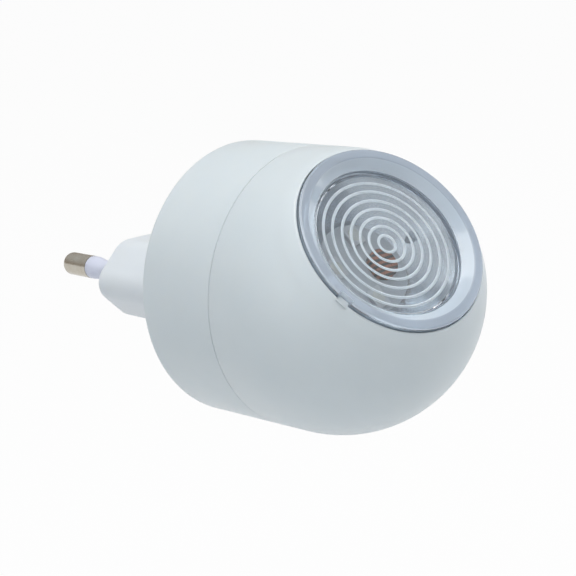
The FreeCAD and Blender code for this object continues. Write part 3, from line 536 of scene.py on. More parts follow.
# Name, light and dark tone, share let through, roughness, its lift by marks, grain, waves,
# scale of the tones, scale of the marks.
LENS_FINISHES = [
    acrylic("lens_clear", (0.97, 0.985, 1.0), (0.95, 0.975, 0.99), 1.0, 0.02, 0.03, 0.02, 0.05, 150.0, 300.0),
    # Groove flanks: near white and almost opaque, a painted highlight in place of the clear grooves' glints.
    acrylic("groove_painted_highlight", (0.86, 0.94, 1.0), (0.83, 0.92, 1.0), 0.05, 0.3, 0.1, 0.2, 0.0, 400.0, 500.0),
    acrylic("wall_frost", (0.86, 0.92, 1.0), (0.8, 0.87, 0.96), 0.3, 0.45, 0.1, 0.2, 0.0, 200.0, 500.0),
    # Outer wall: dark grey, painted shade of the shadowed gap round the lens.
    acrylic("wall_painted_shade", (0.3, 0.36, 0.42), (0.25, 0.31, 0.37), 0.3, 0.2, 0.1, 0.1, 0.0, 200.0, 500.0),
    # Rim and cone: pale milky colour, a painted reflection of the surroundings, half let through.
    acrylic("rim_painted_reflection", (0.64, 0.73, 0.85), (0.6, 0.69, 0.81), 0.5, 0.1, 0.06, 0.03, 0.05, 120.0, 300.0),
    acrylic("cone_painted_reflection", (0.8, 0.9, 1.0), (0.76, 0.87, 0.98), 0.4, 0.08, 0.06, 0.03, 0.05, 120.0, 300.0),
]
CLEAR, GROOVE, INNER_WALL, OUTER_WALL, RIM, CONE = range(len(LENS_FINISHES))
print("lens finishes ready", len(LENS_FINISHES))

# %% [markdown]
# The hidden parts get plain but true finishes: board laminate with a faint weave, the
# yellow film capacitor, a dark sleeved can, black moulded chips and a coated resistor.
# The weave is two crossed wave textures, multiplied.

# %% Board laminate
WEAVE_SCALE = 900.0
WEAVE_HEIGHT = 0.00002


def laminate(name):
    """Board laminate with the fine square weave of its glass cloth."""
    finish, tree, shader = blank_finish(name)
    place = tree.nodes.new("ShaderNodeTexCoord")
    warp = tree.nodes.new("ShaderNodeTexWave")
    warp.bands_direction = "X"
    weft = tree.nodes.new("ShaderNodeTexWave")
    weft.bands_direction = "Z"
    cloth = maths(tree, "MULTIPLY")
    tones = ramp(tree, (0.5, 0.44, 0.26), (0.62, 0.56, 0.36))
    bump = tree.nodes.new("ShaderNodeBump")
    bump.inputs["Distance"].default_value = WEAVE_HEIGHT
    bump.inputs["Strength"].default_value = 0.4
    link = tree.links.new
    for socket, threads in enumerate((warp, weft)):
        threads.inputs["Scale"].default_value = WEAVE_SCALE
        link(place.outputs["Object"], threads.inputs["Vector"])
        link(threads.outputs["Fac"], cloth.inputs[socket])
    link(cloth.outputs["Value"], tones.inputs["Fac"])
    link(cloth.outputs["Value"], bump.inputs["Height"])
    link(tones.outputs["Color"], shader.inputs["Base Color"])
    link(bump.outputs["Normal"], shader.inputs["Normal"])
    shader.inputs["Roughness"].default_value = 0.45
    return finish


BOARD_LAMINATE = laminate("board_laminate")
print("laminate ready")

# %% Finishes of the electronics
FILM_YELLOW = plastic("film_yellow", (0.62, 0.4, 0.05), (0.55, 0.35, 0.04), 0.3)
CAN_DARK = plastic("can_dark", (0.03, 0.035, 0.06), (0.02, 0.025, 0.045), 0.3)
CHIP_BLACK = plastic("chip_black", (0.02, 0.02, 0.022), (0.014, 0.014, 0.016), 0.55)
RESISTOR_COAT = plastic("resistor_coat", (0.1, 0.26, 0.2), (0.08, 0.22, 0.17), 0.5)
HEADER_NYLON = plastic("header_nylon", (0.72, 0.7, 0.62), (0.68, 0.66, 0.58), 0.45)
CABLE_SHEATH = plastic("cable_sheath", (0.62, 0.62, 0.6), (0.56, 0.56, 0.55), 0.6, grain=0.4)
LED_CASE = plastic("led_case", (0.5, 0.54, 0.58), (0.47, 0.51, 0.55), 0.4)
LED_WINDOW = plastic("led_window", (0.51, 0.54, 0.53), (0.47, 0.5, 0.49), 0.25)
BOARD_WHITE = plastic("board_white", (0.42, 0.47, 0.52), (0.38, 0.43, 0.48), 0.35)
print("electronics finishes ready")

# %% [markdown]
# The light sensor shows through the lens as an orange-brown spot with dark bands. Such a
# sensor is a ceramic disc with a zigzag track on its face. The track could be modelled,
# but behind the rings only its bands can be told, so a wave texture draws them, turned
# to the tilt of the lens.

# %% Sensor finish
BAND_SCALE = 330.0


def sensor_track(name):
    """An orange ceramic face crossed by dark wavy bands."""
    finish, tree, shader = blank_finish(name)
    place = tree.nodes.new("ShaderNodeTexCoord")
    lay = tree.nodes.new("ShaderNodeMapping")
    lay.inputs["Rotation"].default_value = (math.radians(LENS_TILT - 90), 0, 0)
    bands = tree.nodes.new("ShaderNodeTexWave")
    bands.bands_direction = "Y"
    bands.inputs["Scale"].default_value = BAND_SCALE
    bands.inputs["Distortion"].default_value = 1.5
    bands.inputs["Detail"].default_value = 0.0
    tones = ramp(tree, (0.03, 0.022, 0.022), (0.26, 0.09, 0.045), 0.35, 0.55)
    tones.color_ramp.interpolation = "EASE"
    link = tree.links.new
    link(place.outputs["Object"], lay.inputs["Vector"])
    link(lay.outputs["Vector"], bands.inputs["Vector"])
    link(bands.outputs["Fac"], tones.inputs["Fac"])
    link(tones.outputs["Color"], shader.inputs["Base Color"])
    marked_roughness(tree, shader, 0.2, 0.1, 400.0)
    return finish


SENSOR_TRACK = sensor_track("sensor_track")
print("sensor finish ready")

# %% [markdown]
# ## Finishes on the measured solids
# The inner pieces keep their measured solids, which are small, hidden and already the
# right shape. Each only gets its finish, in the object's material slots. The shells, the
# plug, the lens, the sensor and the lamps get one too, although denser pieces stand for
# them further down.

# %% Give finishes to the solids
NODE_FINISH = {
    "base_shell": SHELL_WHITE, "head_shell": SHELL_WHITE, "plug_block": NOSE_WHITE,
    "pin_left": PIN_NICKEL, "pin_right": PIN_NICKEL,
    "pin_sleeve_left": SLEEVE_LILAC, "pin_sleeve_right": SLEEVE_LILAC,
    "power_board": BOARD_LAMINATE, "lamp_board": BOARD_WHITE,
    "board_screws": SCREW_ZINC, "swivel_ring_screws": SCREW_ZINC, "hub_screws": SCREW_ZINC,
    "retaining_screws": SCREW_ZINC, "lamp_board_screws": REFLECTOR_SILVER,
    "film_capacitor": FILM_YELLOW, "smoothing_capacitor": CAN_DARK,
    "bridge_rectifier": CHIP_BLACK, "sensor_transistor": CHIP_BLACK,
    "fusible_resistor": RESISTOR_COAT, "bleed_resistors": CHIP_BLACK,
    "lamp_resistors": CHIP_BLACK, "wire_header": HEADER_NYLON,
    "swivel_ring": BEARING_WHITE, "swivel_hub": BEARING_WHITE,
    "lens": LENS_FINISHES[CLEAR], "reflector": REFLECTOR_SILVER, "leds": LED_CASE,
    "light_sensor": SENSOR_TRACK, "wave_washer": SPRING_BRIGHT,
    "retaining_washer": SCREW_ZINC, "lead_cable": CABLE_SHEATH,
}
for node, finish in NODE_FINISH.items():
    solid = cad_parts[node]
    if not solid.material_slots:
        solid.data.materials.append(finish)
    for place in solid.material_slots:
        place.material = finish
print("solids without a finish:", sorted(set(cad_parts) - set(NODE_FINISH)))

# %% [markdown]
# ## The domed head
# The head is a half ball on a short cylinder, cut off flat where the lens sits. It could
# be a ball joined to a tube and cut by a boolean, but then the lip would be a ragged
# ring of small faces. The ball and the lens opening share one axis, so the skin is spun
# about the lens's axis, and the lip is perfectly round. Its section is drawn from two
# arcs, each spun from a single vertex.

# %% Spin the head's skin
ARC_STEPS = 64
HEAD_STEPS = 200
LIP_ROUNDS = (0.2, 0.1)  # outer and inner edge of the lip


def head_skin():
    """The wall of a hollow ball, inside and outside, from the lens lip to the far pole."""
    bm = bmesh.new()
    outer_start = bm.verts.new((LIP_R, 0, CUT_AT))
    inner_height = math.sqrt(INNER_R ** 2 - BORE_R ** 2)
    inner_start = bm.verts.new((BORE_R, 0, inner_height))
    lip = bm.verts.new((BORE_R, 0, CUT_AT))
    for start, radius in ((outer_start, BODY_R), (inner_start, INNER_R)):
        polar = math.acos(start.co.z / radius)
        bmesh.ops.spin(
            bm, geom=[start], cent=(0, 0, 0), axis=(0, 1, 0), dvec=(0, 0, 0),
            angle=math.pi - polar, steps=ARC_STEPS, use_merge=False, use_duplicate=False,
        )
    bm.edges.new((outer_start, lip))
    bm.edges.new((lip, inner_start))
    for corner, radius in zip((outer_start, lip), LIP_ROUNDS):
        soften(bm, [corner], radius, 5, "VERTICES")
    spin_all(bm, HEAD_STEPS)
    return bm


skin = head_skin()
print("hollow ball", len(skin.faces), "faces")

# %% [markdown]
# The ball is cut through its middle, square to the plug's axis, and the open edge is
# drawn out along that axis, which makes the short cylinder without a joint line. The
# open end is bridged from outside to inside, and its outer edge gets a tiny bevel, so
# that the seam to the base catches light as a moulded edge does.

# %% Draw the head out to the seam
def pull_to_seam(bm):
    """Cut the ball through its middle and draw the open edges out to the seam."""
    tilt = math.radians(LENS_TILT)
    rearward = Vector((0, math.sin(tilt), -math.cos(tilt)))
    bmesh.ops.bisect_plane(
        bm, geom=bm.verts[:] + bm.edges[:] + bm.faces[:], dist=0.0001,
        plane_co=(0, 0, 0), plane_no=rearward, clear_outer=True,
    )
    open_edges = [edge for edge in bm.edges if edge.is_boundary]
    pulled = bmesh.ops.extrude_edge_only(bm, edges=open_edges)["geom"]
    moved = [v for v in pulled if isinstance(v, bmesh.types.BMVert)]
    bmesh.ops.translate(bm, vec=rearward * (HEAD_Y - DOME_Y), verts=moved)
    rim = [e for e in pulled if isinstance(e, bmesh.types.BMEdge) and e.is_boundary]
    bmesh.ops.bridge_loops(bm, edges=rim)
    bmesh.ops.recalc_face_normals(bm, faces=bm.faces[:])
    outer_rim = [e for e in rim if e.is_valid and e.verts[0].co.length > BODY_R]
    soften(bm, outer_rim, SEAM_ROUND, 4)
    return bm


skin = pull_to_seam(skin)
print("head skin", len(skin.faces), "faces, open edges", sum(e.is_boundary for e in skin.edges))

# %% [markdown]
# Inside the opening a collar carries the lens. It has a ledge that the reflector's
# flange rests on, and one rib that keys the lens so that it can't turn. Both reach into
# the wall of the skin, so they are poured into its mesh without a boolean.

# %% Add the collar and the key
COLLAR_DROP = 2.2  # how far under the lip the collar starts
COLLAR_WALL = 1.75
LEDGE_WIDE = 2.0
LEDGE_THICK = 1.5
KEY_DEPTH = 1.15
KEY_WIDE = 1.9
KEY_INWARD = 0.13  # how far the key's middle lies in from the bore's wall
collar_outer, ledge_inner = BORE_R + COLLAR_WALL, BORE_R - LEDGE_WIDE
collar_top, ledge_under = CUT_AT - COLLAR_DROP, LEDGE_AT - LEDGE_THICK
collar = turned(
    [(BORE_R, collar_top), (BORE_R, LEDGE_AT), (ledge_inner, LEDGE_AT),
     (ledge_inner, ledge_under), (collar_outer, ledge_under), (collar_outer, collar_top)],
    closed=True, steps=128,
)
join_into(skin, collar)
key = brick(
    (KEY_DEPTH, KEY_WIDE, CUT_AT - LEDGE_AT), (BORE_R - KEY_INWARD, 0, (CUT_AT + LEDGE_AT) / 2), FINE_EDGE
)
join_into(skin, swung(key, KEY_ANGLE))
add_piece(skin, "head_dome", LENS_AXIS, [SHELL_WHITE], "head", ["head_shell"])

# %% [markdown]
# ## The plug's outline
# The nose of a flat two-pin plug has six sides, and the wall of the base has an opening
# of the same outline. One function draws it for both, grown a little for the opening.
# It starts from one six-sided face that is extruded, and the long edges are bevelled
# afterwards, with a large radius at the two ends and a small one at the four corners.

# %% Nose outline
NOSE_WIDE = 17.65  # half the width over the rounded ends
NOSE_HALF = 6.9  # half the height
NOSE_END = 3.6  # radius of the two ends
NOSE_CORNER = 1.6  # how far the four corners are rounded off
NOSE_REAR = -21.0  # the nose's far end, inside the base


def nose_outline_block(grow, front, rear):
    """The plug's six-sided outline, with its edges rounded, as a block along Z."""
    half = NOSE_HALF + grow
    point = NOSE_WIDE + NOSE_END * (math.sqrt(2) - 1) + grow * math.sqrt(2)
    flat = point - half
    bm = bmesh.new()
    corners = [(-flat, half), (flat, half), (point, 0), (flat, -half), (-flat, -half), (-point, 0)]
    ring = [bm.verts.new((x, z, rear)) for x, z in corners]
    face = bm.faces.new(ring)
    grown = bmesh.ops.extrude_face_region(bm, geom=[face])["geom"]
    moved = [v for v in grown if isinstance(v, bmesh.types.BMVert)]
    bmesh.ops.translate(bm, vec=(0, 0, front - rear), verts=moved)
    bmesh.ops.recalc_face_normals(bm, faces=bm.faces[:])
    long_edges = [e for e in bm.edges if abs(e.verts[0].co.z - e.verts[1].co.z) > 1e-6]
    ends = [e for e in long_edges if abs(e.verts[0].co.y) < 1e-6]
    sides = [e for e in long_edges if e not in ends]
    soften(bm, ends, NOSE_END + grow, 20)
    soften(bm, [e for e in sides if e.is_valid], NOSE_CORNER, 6)
    return bm


# %% [markdown]
# ## The base cup
# The base is a plain turned cup. Its rear edge has a clear radius and the edge at the
# seam a very small one, so that the seam shows as a fine dark line. The nose comes out
# through the opening in the rear wall. The opening isn't round, so a boolean cuts it.

# %% Spin the base cup and open it for the nose
REAR_ROUND = 0.8
MOUTH_ROUND = 0.15  # inner edge of the open end
NOSE_GAP = 0.05  # clearance round the nose
OPENING_FRONT = -16.0
cup = turned(
    [(0, REAR_Y), (BODY_R, REAR_Y), (BODY_R, SEAM_Y), (INNER_R, SEAM_Y), (INNER_R, FLOOR_Y), (0, FLOOR_Y)],
    rounds=[(1, REAR_ROUND), (2, SEAM_ROUND), (3, MOUTH_ROUND)], steps=200,
)
cup = carved(cup, nose_outline_block(NOSE_GAP, OPENING_FRONT, NOSE_REAR))
add_piece(cup, "base_cup", PLUG_AXIS, [SHELL_WHITE], "base", ["base_shell"])

# %% [markdown]
# ## The plug nose
# The nose has the standard flat outline with softened corners, and it gets a little
# flatter towards its face. Only the front ring of the block is scaled for that, because
# a straight taper needs no more. The edge of the face has a small radius, and a shallow
# round pocket surrounds each pin where it leaves the face.

# %% Build the nose
PIN_SPREAD = 18.6  # between the pins at the nose's face
FACE_FLATTER = 0.952
FACE_ROUND = 0.8
POCKET_R = 2.3
POCKET_DEPTH = 0.5
nose = nose_outline_block(0.0, 0.0, NOSE_REAR)
front_ring = [v for v in nose.verts if abs(v.co.z) < 1e-6]
bmesh.ops.scale(nose, vec=(1.0, FACE_FLATTER, 1.0), verts=front_ring)
face_edges = [e for e in nose.edges if all(abs(v.co.z) < 1e-6 for v in e.verts)]
soften(nose, face_edges, FACE_ROUND, 6)
pockets = bmesh.new()
for side in (-1, 1):
    pocket = turned(
        [(0, -POCKET_DEPTH), (POCKET_R, -POCKET_DEPTH), (POCKET_R, 1.0), (0, 1.0)], steps=64
    )
    bmesh.ops.translate(pocket, vec=(side * PIN_SPREAD / 2, 0, 0), verts=pocket.verts[:])
    join_into(pockets, pocket)
nose = carved(nose, pockets)
add_piece(nose, "plug_nose", PLUG_AXIS, [NOSE_WHITE], "base", ["plug_block"])

# %% [markdown]
# ## Pins and sleeves
# Each pin is a turned bar with a rounded tip. Behind the bare contact end an insulating
# sleeve starts almost flush as a full band, tapers, and runs back as a thinner neck. The
# two pins lean towards each other a little, which is what grips the socket. Leaning a
# finished piece is simpler than spinning it about a slanted axis, so each side has a
# matrix of its own.

# %% Sizes of the pins
PIN_LONG = 19.0  # from the nose's face to the tip
PIN_R = 2.0
PIN_TIPS = 17.5  # between the tips
TIP_ROUND = 1.1
SHANK_R = 1.2  # the bar under the sleeve
SHANK_END = -27.0
CONTACT_END = 12.03  # where the bare metal ends
BAND_R = 1.98
BAND_END = 10.5
NECK_R = 1.6
NECK_START = 8.9
SLEEVE_START = 12.0
SLEEVE_END = -4.5
SLEEVE_BORE = 1.25
SLEEVE_ROUNDS = [(1, 0.12), (2, 0.5), (3, 0.6)]
LEAN = math.atan((PIN_SPREAD - PIN_TIPS) / 2 / PIN_LONG)
print("pin lean", round(math.degrees(LEAN), 3), "degrees")


# %% Turn the pins and sleeves
def pin_place(side):
    """The slanted axis of one pin, with the scale to metres."""
    return (
        SCALE
        @ Matrix.Translation((side * PIN_SPREAD / 2, 0, 0))
        @ Matrix.Rotation(side * LEAN, 4, "Z")
        @ Matrix.Rotation(math.radians(-90), 4, "X")
    )


for side, name in ((-1, "left"), (1, "right")):
    bar = turned(
        [(0, PIN_LONG), (PIN_R, PIN_LONG), (PIN_R, CONTACT_END), (SHANK_R, CONTACT_END),
         (SHANK_R, SHANK_END), (0, SHANK_END)],
        rounds=[(1, TIP_ROUND)], steps=72,
    )
    add_piece(bar, "contact_pin_" + name, pin_place(side), [PIN_NICKEL], "base", ["pin_" + name])
    sleeve = turned(
        [(SLEEVE_BORE, SLEEVE_START), (BAND_R, SLEEVE_START), (BAND_R, BAND_END), (NECK_R, NECK_START),
         (NECK_R, SLEEVE_END), (SLEEVE_BORE, SLEEVE_END)],
        rounds=SLEEVE_ROUNDS, steps=72, closed=True,
    )
    add_piece(
        sleeve, "insulating_sleeve_" + name, pin_place(side), [SLEEVE_LILAC],
        "base", ["pin_sleeve_" + name],
    )

# %% [markdown]
# ## The ringed lens
# From outside the lens is a flat rim, a shallow conical dish and a smooth floor. Its
# rings are fine V grooves on the underside. They could be drawn by a bump, but real
# grooves bend what lies behind them and stay sharp from close by. The whole lens is one
# section, spun once.

# %% Lens section
GROOVE_RADII = (1.2, 2.8, 4.3, 5.8, 7.3, 8.9, 10.4, 11.75)
GROOVE_WIDE = 0.48
GROOVE_DEEP = 0.2
DISH_R = 12.4  # foot of the cone
RIM_R = 14.0  # top of the cone
SKIRT_INNER = 14.1
DISH_AT = LENS_TOP - 1.5
PLATE_AT = LENS_TOP - 2.7
SMOKE_END = CUT_AT - 0.25
LENS_ROUNDS = [(1, 0.25), (2, 0.2), (3, 0.4)]  # foot and top of the cone, outer edge


def lens_section():
    """The half section, from the middle of the dish round to the middle of the underside."""
    points = [(0, DISH_AT), (DISH_R, DISH_AT), (RIM_R, LENS_TOP), (LENS_R, LENS_TOP),
              (LENS_R, SMOKE_END), (LENS_R, SKIRT_AT), (SKIRT_INNER, SKIRT_AT), (SKIRT_INNER, PLATE_AT)]
    for radius in reversed(GROOVE_RADII):
        points.append((radius + GROOVE_WIDE, PLATE_AT))
        points.append((radius + GROOVE_WIDE / 2, PLATE_AT + GROOVE_DEEP))
        points.append((radius, PLATE_AT))
    points.append((0, PLATE_AT))
    return points


lens = turned(lens_section(), rounds=LENS_ROUNDS, steps=200)
print("lens section spun", len(lens.faces), "faces")

# %% [markdown]
# The lens has a notch that the collar's key fits, and three small catches that hold it
# in the collar. They are what isn't round on it, so they come after the spin.

# %% Notch and catches
NOTCH_DEEP = 0.7
NOTCH_TOOL = (2.0, 2.2, 8.0)
NOTCH_DROP = 2.0  # the tool's middle under the lens's top
CATCH_SIZE = (0.85, 3.0, 0.9)
CATCH_SUNK = 0.5  # how far a catch reaches into the wall
CATCH_RISE = 0.85  # its middle above the skirt's edge
notch = brick(NOTCH_TOOL, (LENS_R - NOTCH_DEEP + NOTCH_TOOL[0] / 2, 0, LENS_TOP - NOTCH_DROP))
lens = carved(lens, swung(notch, KEY_ANGLE))
catch_middle = (LENS_R - CATCH_SUNK + CATCH_SIZE[0] / 2, 0, SKIRT_AT + CATCH_RISE)
for angle in CATCH_ANGLES:
    catch = swung(brick(CATCH_SIZE, catch_middle, FINE_EDGE), angle)
    lens = carved(lens, catch, "UNION")
print("lens with notch and catches", len(lens.faces), "faces")

# %% [markdown]
# The lens stays one mesh, but its faces take six finishes. After the booleans the faces
# have no order left that could be counted on, so each is sorted by where it lies: by its
# distance from the axis, its height, and whether it looks up. The outermost groove stays
# clear, as the last ring is faint.

# %% Sort the lens's faces by finish
CONE_REACH, RIM_REACH = DISH_R + 0.05, RIM_R - 0.1
OUTER_REACH, INNER_REACH = LENS_R - 0.1, SKIRT_INNER - 0.05
DISH_HEIGHT = DISH_AT + 0.01
SMOKE_HEIGHTS = (SMOKE_END - 0.05, LENS_TOP - 0.35)
FROST_HEIGHT = LENS_TOP - 0.45
GROOVE_HEIGHT = PLATE_AT + 0.6
GROOVE_REACH = 11.0  # rings further out stay clear
LOOKS_UP = 0.3


def lens_finish(face):
    """Which finish a face of the lens gets."""
    middle = face.calc_center_median()
    reach = math.hypot(middle.x, middle.y)
    if reach > CONE_REACH and middle.z > DISH_HEIGHT and face.normal.z > LOOKS_UP:
        return RIM if reach > RIM_REACH else CONE
    if reach > OUTER_REACH and SMOKE_HEIGHTS[0] < middle.z < SMOKE_HEIGHTS[1]:
        return OUTER_WALL
    if reach > INNER_REACH and middle.z < FROST_HEIGHT:
        return INNER_WALL
    in_groove = any(radius < reach < radius + GROOVE_WIDE for radius in GROOVE_RADII)
    if in_groove and middle.z < GROOVE_HEIGHT and reach < GROOVE_REACH:
        return GROOVE
    return CLEAR


for face in lens.faces:
    face.material_index = lens_finish(face)
print("groove faces", sum(face.material_index == GROOVE for face in lens.faces))
add_piece(lens, "stepped_lens", LENS_AXIS, LENS_FINISHES, "head", ["lens"], sharp=20)

# %% [markdown]
# ## Reflector, sensor and lamps
# Behind the lens sits a satin silver dish, which is the measured solid. The light
# sensor and three small lamps stand on the board at its floor. They show only as soft
# shapes through the rings, but they give the lens its depth. The sensor is a turned
# disc with two flats, and each lamp a softened brick with a low turned window.

# %% Sensor disc
SENSOR_R = 2.5
SENSOR_FLAT = 2.3  # from its middle to each flat
SENSOR_THICK = 1.6
SENSOR_AT = (2.85, -1.1, BOARD_TOP)
FLAT_TOOL = (1.0, 6.0, 4.0)
disc = turned(
    [(0, 0), (SENSOR_R, 0), (SENSOR_R, SENSOR_THICK), (0, SENSOR_THICK)], rounds=[(2, 0.3)], steps=64
)
for side in (-1, 1):
    flat = brick(FLAT_TOOL, (side * (SENSOR_FLAT + FLAT_TOOL[0] / 2), 0, SENSOR_THICK / 2))
    disc = carved(disc, flat)
bmesh.ops.translate(disc, vec=SENSOR_AT, verts=disc.verts[:])
add_piece(disc, "sensor_disc", LENS_AXIS, [SENSOR_TRACK], "head", ["light_sensor"])

# %% Lamp cases and windows
LAMP_ANGLES = (70.0, 160.0, 250.0)
LAMP_RING = 5.6
LAMP_CASE = (2.8, 3.5, 0.8)
WINDOW_LIFT = 0.85
WINDOW_SECTION = [(0, 0.25), (0.6, 0.2), (1.1, 0), (1.1, -0.1), (0, -0.1)]
lamps = bmesh.new()
for angle in LAMP_ANGLES:
    x = LAMP_RING * math.cos(math.radians(angle))
    y = LAMP_RING * math.sin(math.radians(angle))
    join_into(lamps, brick(LAMP_CASE, (x, y, BOARD_TOP + LAMP_CASE[2] / 2), 0.1))
    window = turned(WINDOW_SECTION, rounds=[(1, 0.3)], steps=40)
    for face in window.faces:
        face.material_index = 1
    bmesh.ops.translate(window, vec=(x, y, BOARD_TOP + WINDOW_LIFT), verts=window.verts[:])
    join_into(lamps, window)
add_piece(lamps, "lamp_cases", LENS_AXIS, [LED_CASE, LED_WINDOW], "head", ["leds"])

# %% [markdown]
# ## Floor and surroundings
# The picture has a plain white ground. More light on the floor would make it white, but
# would wash out the lamp too. So the floor and the world are white only to the camera,
# to mirrors and through glass, and the floor keeps a small part of its own shading, in
# which the lamp's shadow stays.

# %% White to the eye
def to_the_eye(tree):
    """1 for rays from the camera, from gloss or through glass, else 0."""
    rays = tree.nodes.new("ShaderNodeLightPath")
    first = maths(tree, "MAXIMUM")
    second = maths(tree, "MAXIMUM")
    tree.links.new(rays.outputs["Is Camera Ray"], first.inputs[0])
    tree.links.new(rays.outputs["Is Glossy Ray"], first.inputs[1])
    tree.links.new(first.outputs["Value"], second.inputs[0])
    tree.links.new(rays.outputs["Is Transmission Ray"], second.inputs[1])
    return second.outputs["Value"]


# %% Floor
FLOOR_HEIGHT = -0.075
FLOOR_SIZE = 6.0
FLOOR_WHITE_SHARE = 0.96


def stage_sheet(bm, name, finish):
    """Make a flat sheet that belongs to the scene and not to the lamp."""
    sheet = put_in_scene(name, new_mesh(name, bm))
    sheet.data.materials.append(finish)
    return sheet


def build_floor():
    """A wide pale floor under the lamp."""
    bm = bmesh.new()
    bmesh.ops.create_grid(bm, x_segments=4, y_segments=4, size=FLOOR_SIZE)
    bmesh.ops.translate(bm, vec=(0, 0, FLOOR_HEIGHT), verts=bm.verts[:])
    finish, tree, shader = blank_finish("floor_white")
    two_tones(tree, shader, (0.72, 0.73, 0.74), (0.7, 0.71, 0.72), 8.0)
    shader.inputs["Roughness"].default_value = 0.9
    glow = tree.nodes.new("ShaderNodeEmission")
    share = maths(tree, "MULTIPLY", None, FLOOR_WHITE_SHARE)
    blend = tree.nodes.new("ShaderNodeMixShader")
    tree.links.new(to_the_eye(tree), share.inputs[0])
    tree.links.new(share.outputs["Value"], blend.inputs["Fac"])
    tree.links.new(shader.outputs["BSDF"], blend.inputs[1])
    tree.links.new(glow.outputs["Emission"], blend.inputs[2])
    tree.links.new(blend.outputs["Shader"], tree.nodes["Material Output"].inputs["Surface"])
    stage_sheet(bm, "floor", finish)


build_floor()
print("floor ready")

# %% [markdown]
# In a white room bare metal would look like white paint, since it shows only what stands
# round it. A photographer puts a grey card beside it, and here a card behind the plug
# does the same. Only gloss can see it, and it shades from brown-grey below to grey above.

# %% Grey card
CARD_PLACE = (0, 0.7, 1.02)
CARD_GLOW = 0.9


def build_grey_card():
    """A card behind the plug that only gloss can see."""
    bm = bmesh.new()
    bmesh.ops.create_grid(bm, x_segments=2, y_segments=2, size=1.0)
    upright = Matrix.Rotation(math.radians(90), 3, "X")
    bmesh.ops.rotate(bm, cent=(0, 0, 0), matrix=upright, verts=bm.verts[:])
    bmesh.ops.translate(bm, vec=CARD_PLACE, verts=bm.verts[:])
    finish, tree, shader = blank_finish("card_grey")
    two_tones(tree, shader, (0.2, 0.19, 0.18), (0.17, 0.16, 0.15), 4.0)
    shader.inputs["Roughness"].default_value = 0.9
    place = tree.nodes.new("ShaderNodeTexCoord")
    height = tree.nodes.new("ShaderNodeSeparateXYZ")
    tones = ramp(tree, (0.26, 0.2, 0.15), (0.56, 0.57, 0.57), 0.04, 0.5)
    tree.links.new(place.outputs["Object"], height.inputs["Vector"])
    tree.links.new(height.outputs["Z"], tones.inputs["Fac"])
    tree.links.new(tones.outputs["Color"], shader.inputs["Emission Color"])
    shader.inputs["Emission Strength"].default_value = CARD_GLOW
    card = stage_sheet(bm, "grey_card", finish)
    card.visible_camera = False
    card.visible_diffuse = False
    card.visible_transmission = False
    card.visible_shadow = False


build_grey_card()
print("grey card ready")

# %% [markdown]
# ## Light
# Three large soft lamps and an even world light the object at a plain level, at which a
# colour renders about as it is written. The strongest hangs above, a little towards the
# camera, and lights the top of both shells. Two weak ones open the shade at the sides.

# %% World
WORLD_LEVEL = 0.36


def build_world(even):
    """An even grey light all round that is seen as white."""
    world = bpy.data.worlds.new("soft_room")
    bpy.context.scene.world = world
    world.use_nodes = True
    tree = world.node_tree
    light = tree.nodes["Background"]
    light.inputs["Color"].default_value = (0.95, 0.98, 1.0, 1)
    light.inputs["Strength"].default_value = even
    white = tree.nodes.new("ShaderNodeBackground")
    white.inputs["Color"].default_value = (1, 1, 1, 1)
    blend = tree.nodes.new("ShaderNodeMixShader")
    tree.links.new(to_the_eye(tree), blend.inputs["Fac"])
    tree.links.new(light.outputs["Background"], blend.inputs[1])
    tree.links.new(white.outputs["Background"], blend.inputs[2])
    tree.links.new(blend.outputs["Shader"], tree.nodes["World Output"].inputs["Surface"])


build_world(WORLD_LEVEL)
print("world ready")


# %% Soft lamps
LAMP_AIM = (0, -0.03, 0)
LAMP_SIZE = 0.5


def soft_lamp(name, place, watts, tint):
    """A square area lamp that looks at the middle of the night light."""
    data = bpy.data.lights.new(name, "AREA")
    data.shape = "SQUARE"
    data.size = LAMP_SIZE
    data.energy = watts
    data.color = tint
    lamp = put_in_scene(name, data)
    lamp.location = place
    lamp.rotation_mode = "QUATERNION"
    lamp.rotation_quaternion = (Vector(LAMP_AIM) - Vector(place)).to_track_quat("-Z", "Y")


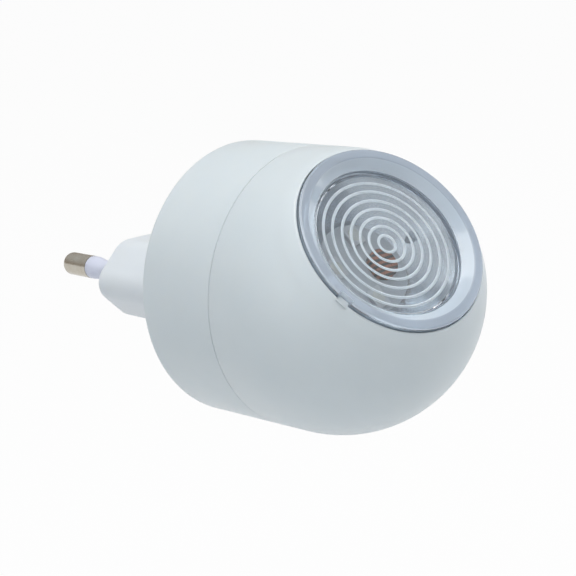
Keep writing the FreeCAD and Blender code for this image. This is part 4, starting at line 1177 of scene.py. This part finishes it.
soft_lamp("top_light", (-0.1, -0.15, 0.6), 3.0, (1.0, 0.99, 0.97))
soft_lamp("right_fill", (0.6, -0.35, 0.1), 1.1, (0.97, 0.99, 1.0))
soft_lamp("left_fill", (-0.6, -0.1, 0.05), 0.5, (0.95, 0.98, 1.0))
print("lamps ready")

# %% [markdown]
# ## Camera
# The camera stands where the photograph was taken from: a long lens, a little above
# the lamp and to its front left. Its place comes from matching the outlines of the
# plug, the base and the lens, so it is written as angles and a distance. The point it
# looks at is given from a point on the plug's axis, by small shifts across the picture.

# %% Camera
CAMERA_ANGLES = (-44.135, 12.838, -3.641)  # azimuth, elevation and roll, in degrees
CAMERA_DISTANCE = 246.411
AIM_Y = -33.063
AIM_RIGHT = -3.935
AIM_UP = -0.297
FOCAL_PIXELS = 1546.07
PICTURE_WIDTH = 576.0
FILM_WIDTH = 36.0


def place_camera():
    """Set the camera from its angles about a point on the plug's axis."""
    azimuth, elevation, roll = (math.radians(angle) for angle in CAMERA_ANGLES)
    level = math.cos(elevation)
    back = Vector((math.sin(azimuth) * level, -math.cos(azimuth) * level, math.sin(elevation)))
    right = Vector((math.cos(azimuth), math.sin(azimuth), 0))
    up = back.cross(right)
    rolled_right = right * math.cos(roll) + up * math.sin(roll)
    rolled_up = up * math.cos(roll) - right * math.sin(roll)
    target = Vector((0, AIM_Y, 0)) + rolled_right * AIM_RIGHT + rolled_up * AIM_UP
    data = bpy.data.cameras.new("photo_camera")
    data.sensor_width = FILM_WIDTH
    data.lens = FILM_WIDTH * FOCAL_PIXELS / PICTURE_WIDTH
    data.clip_start = 0.01
    data.clip_end = 50.0
    camera = put_in_scene("photo_camera", data)
    camera.rotation_mode = "QUATERNION"
    turn = Matrix((rolled_right, rolled_up, back)).transposed()
    camera.rotation_quaternion = turn.to_quaternion()
    camera.location = (target + back * CAMERA_DISTANCE) * MM
    bpy.context.scene.camera = camera
    return camera


camera = place_camera()
bpy.context.scene.view_settings.view_transform = "Standard"
print("camera at", [round(value, 4) for value in camera.location])

# %% [markdown]
# ## Finish
# The view layer is updated once more at the end.

# %% Update the view layer
bpy.context.view_layer.update()
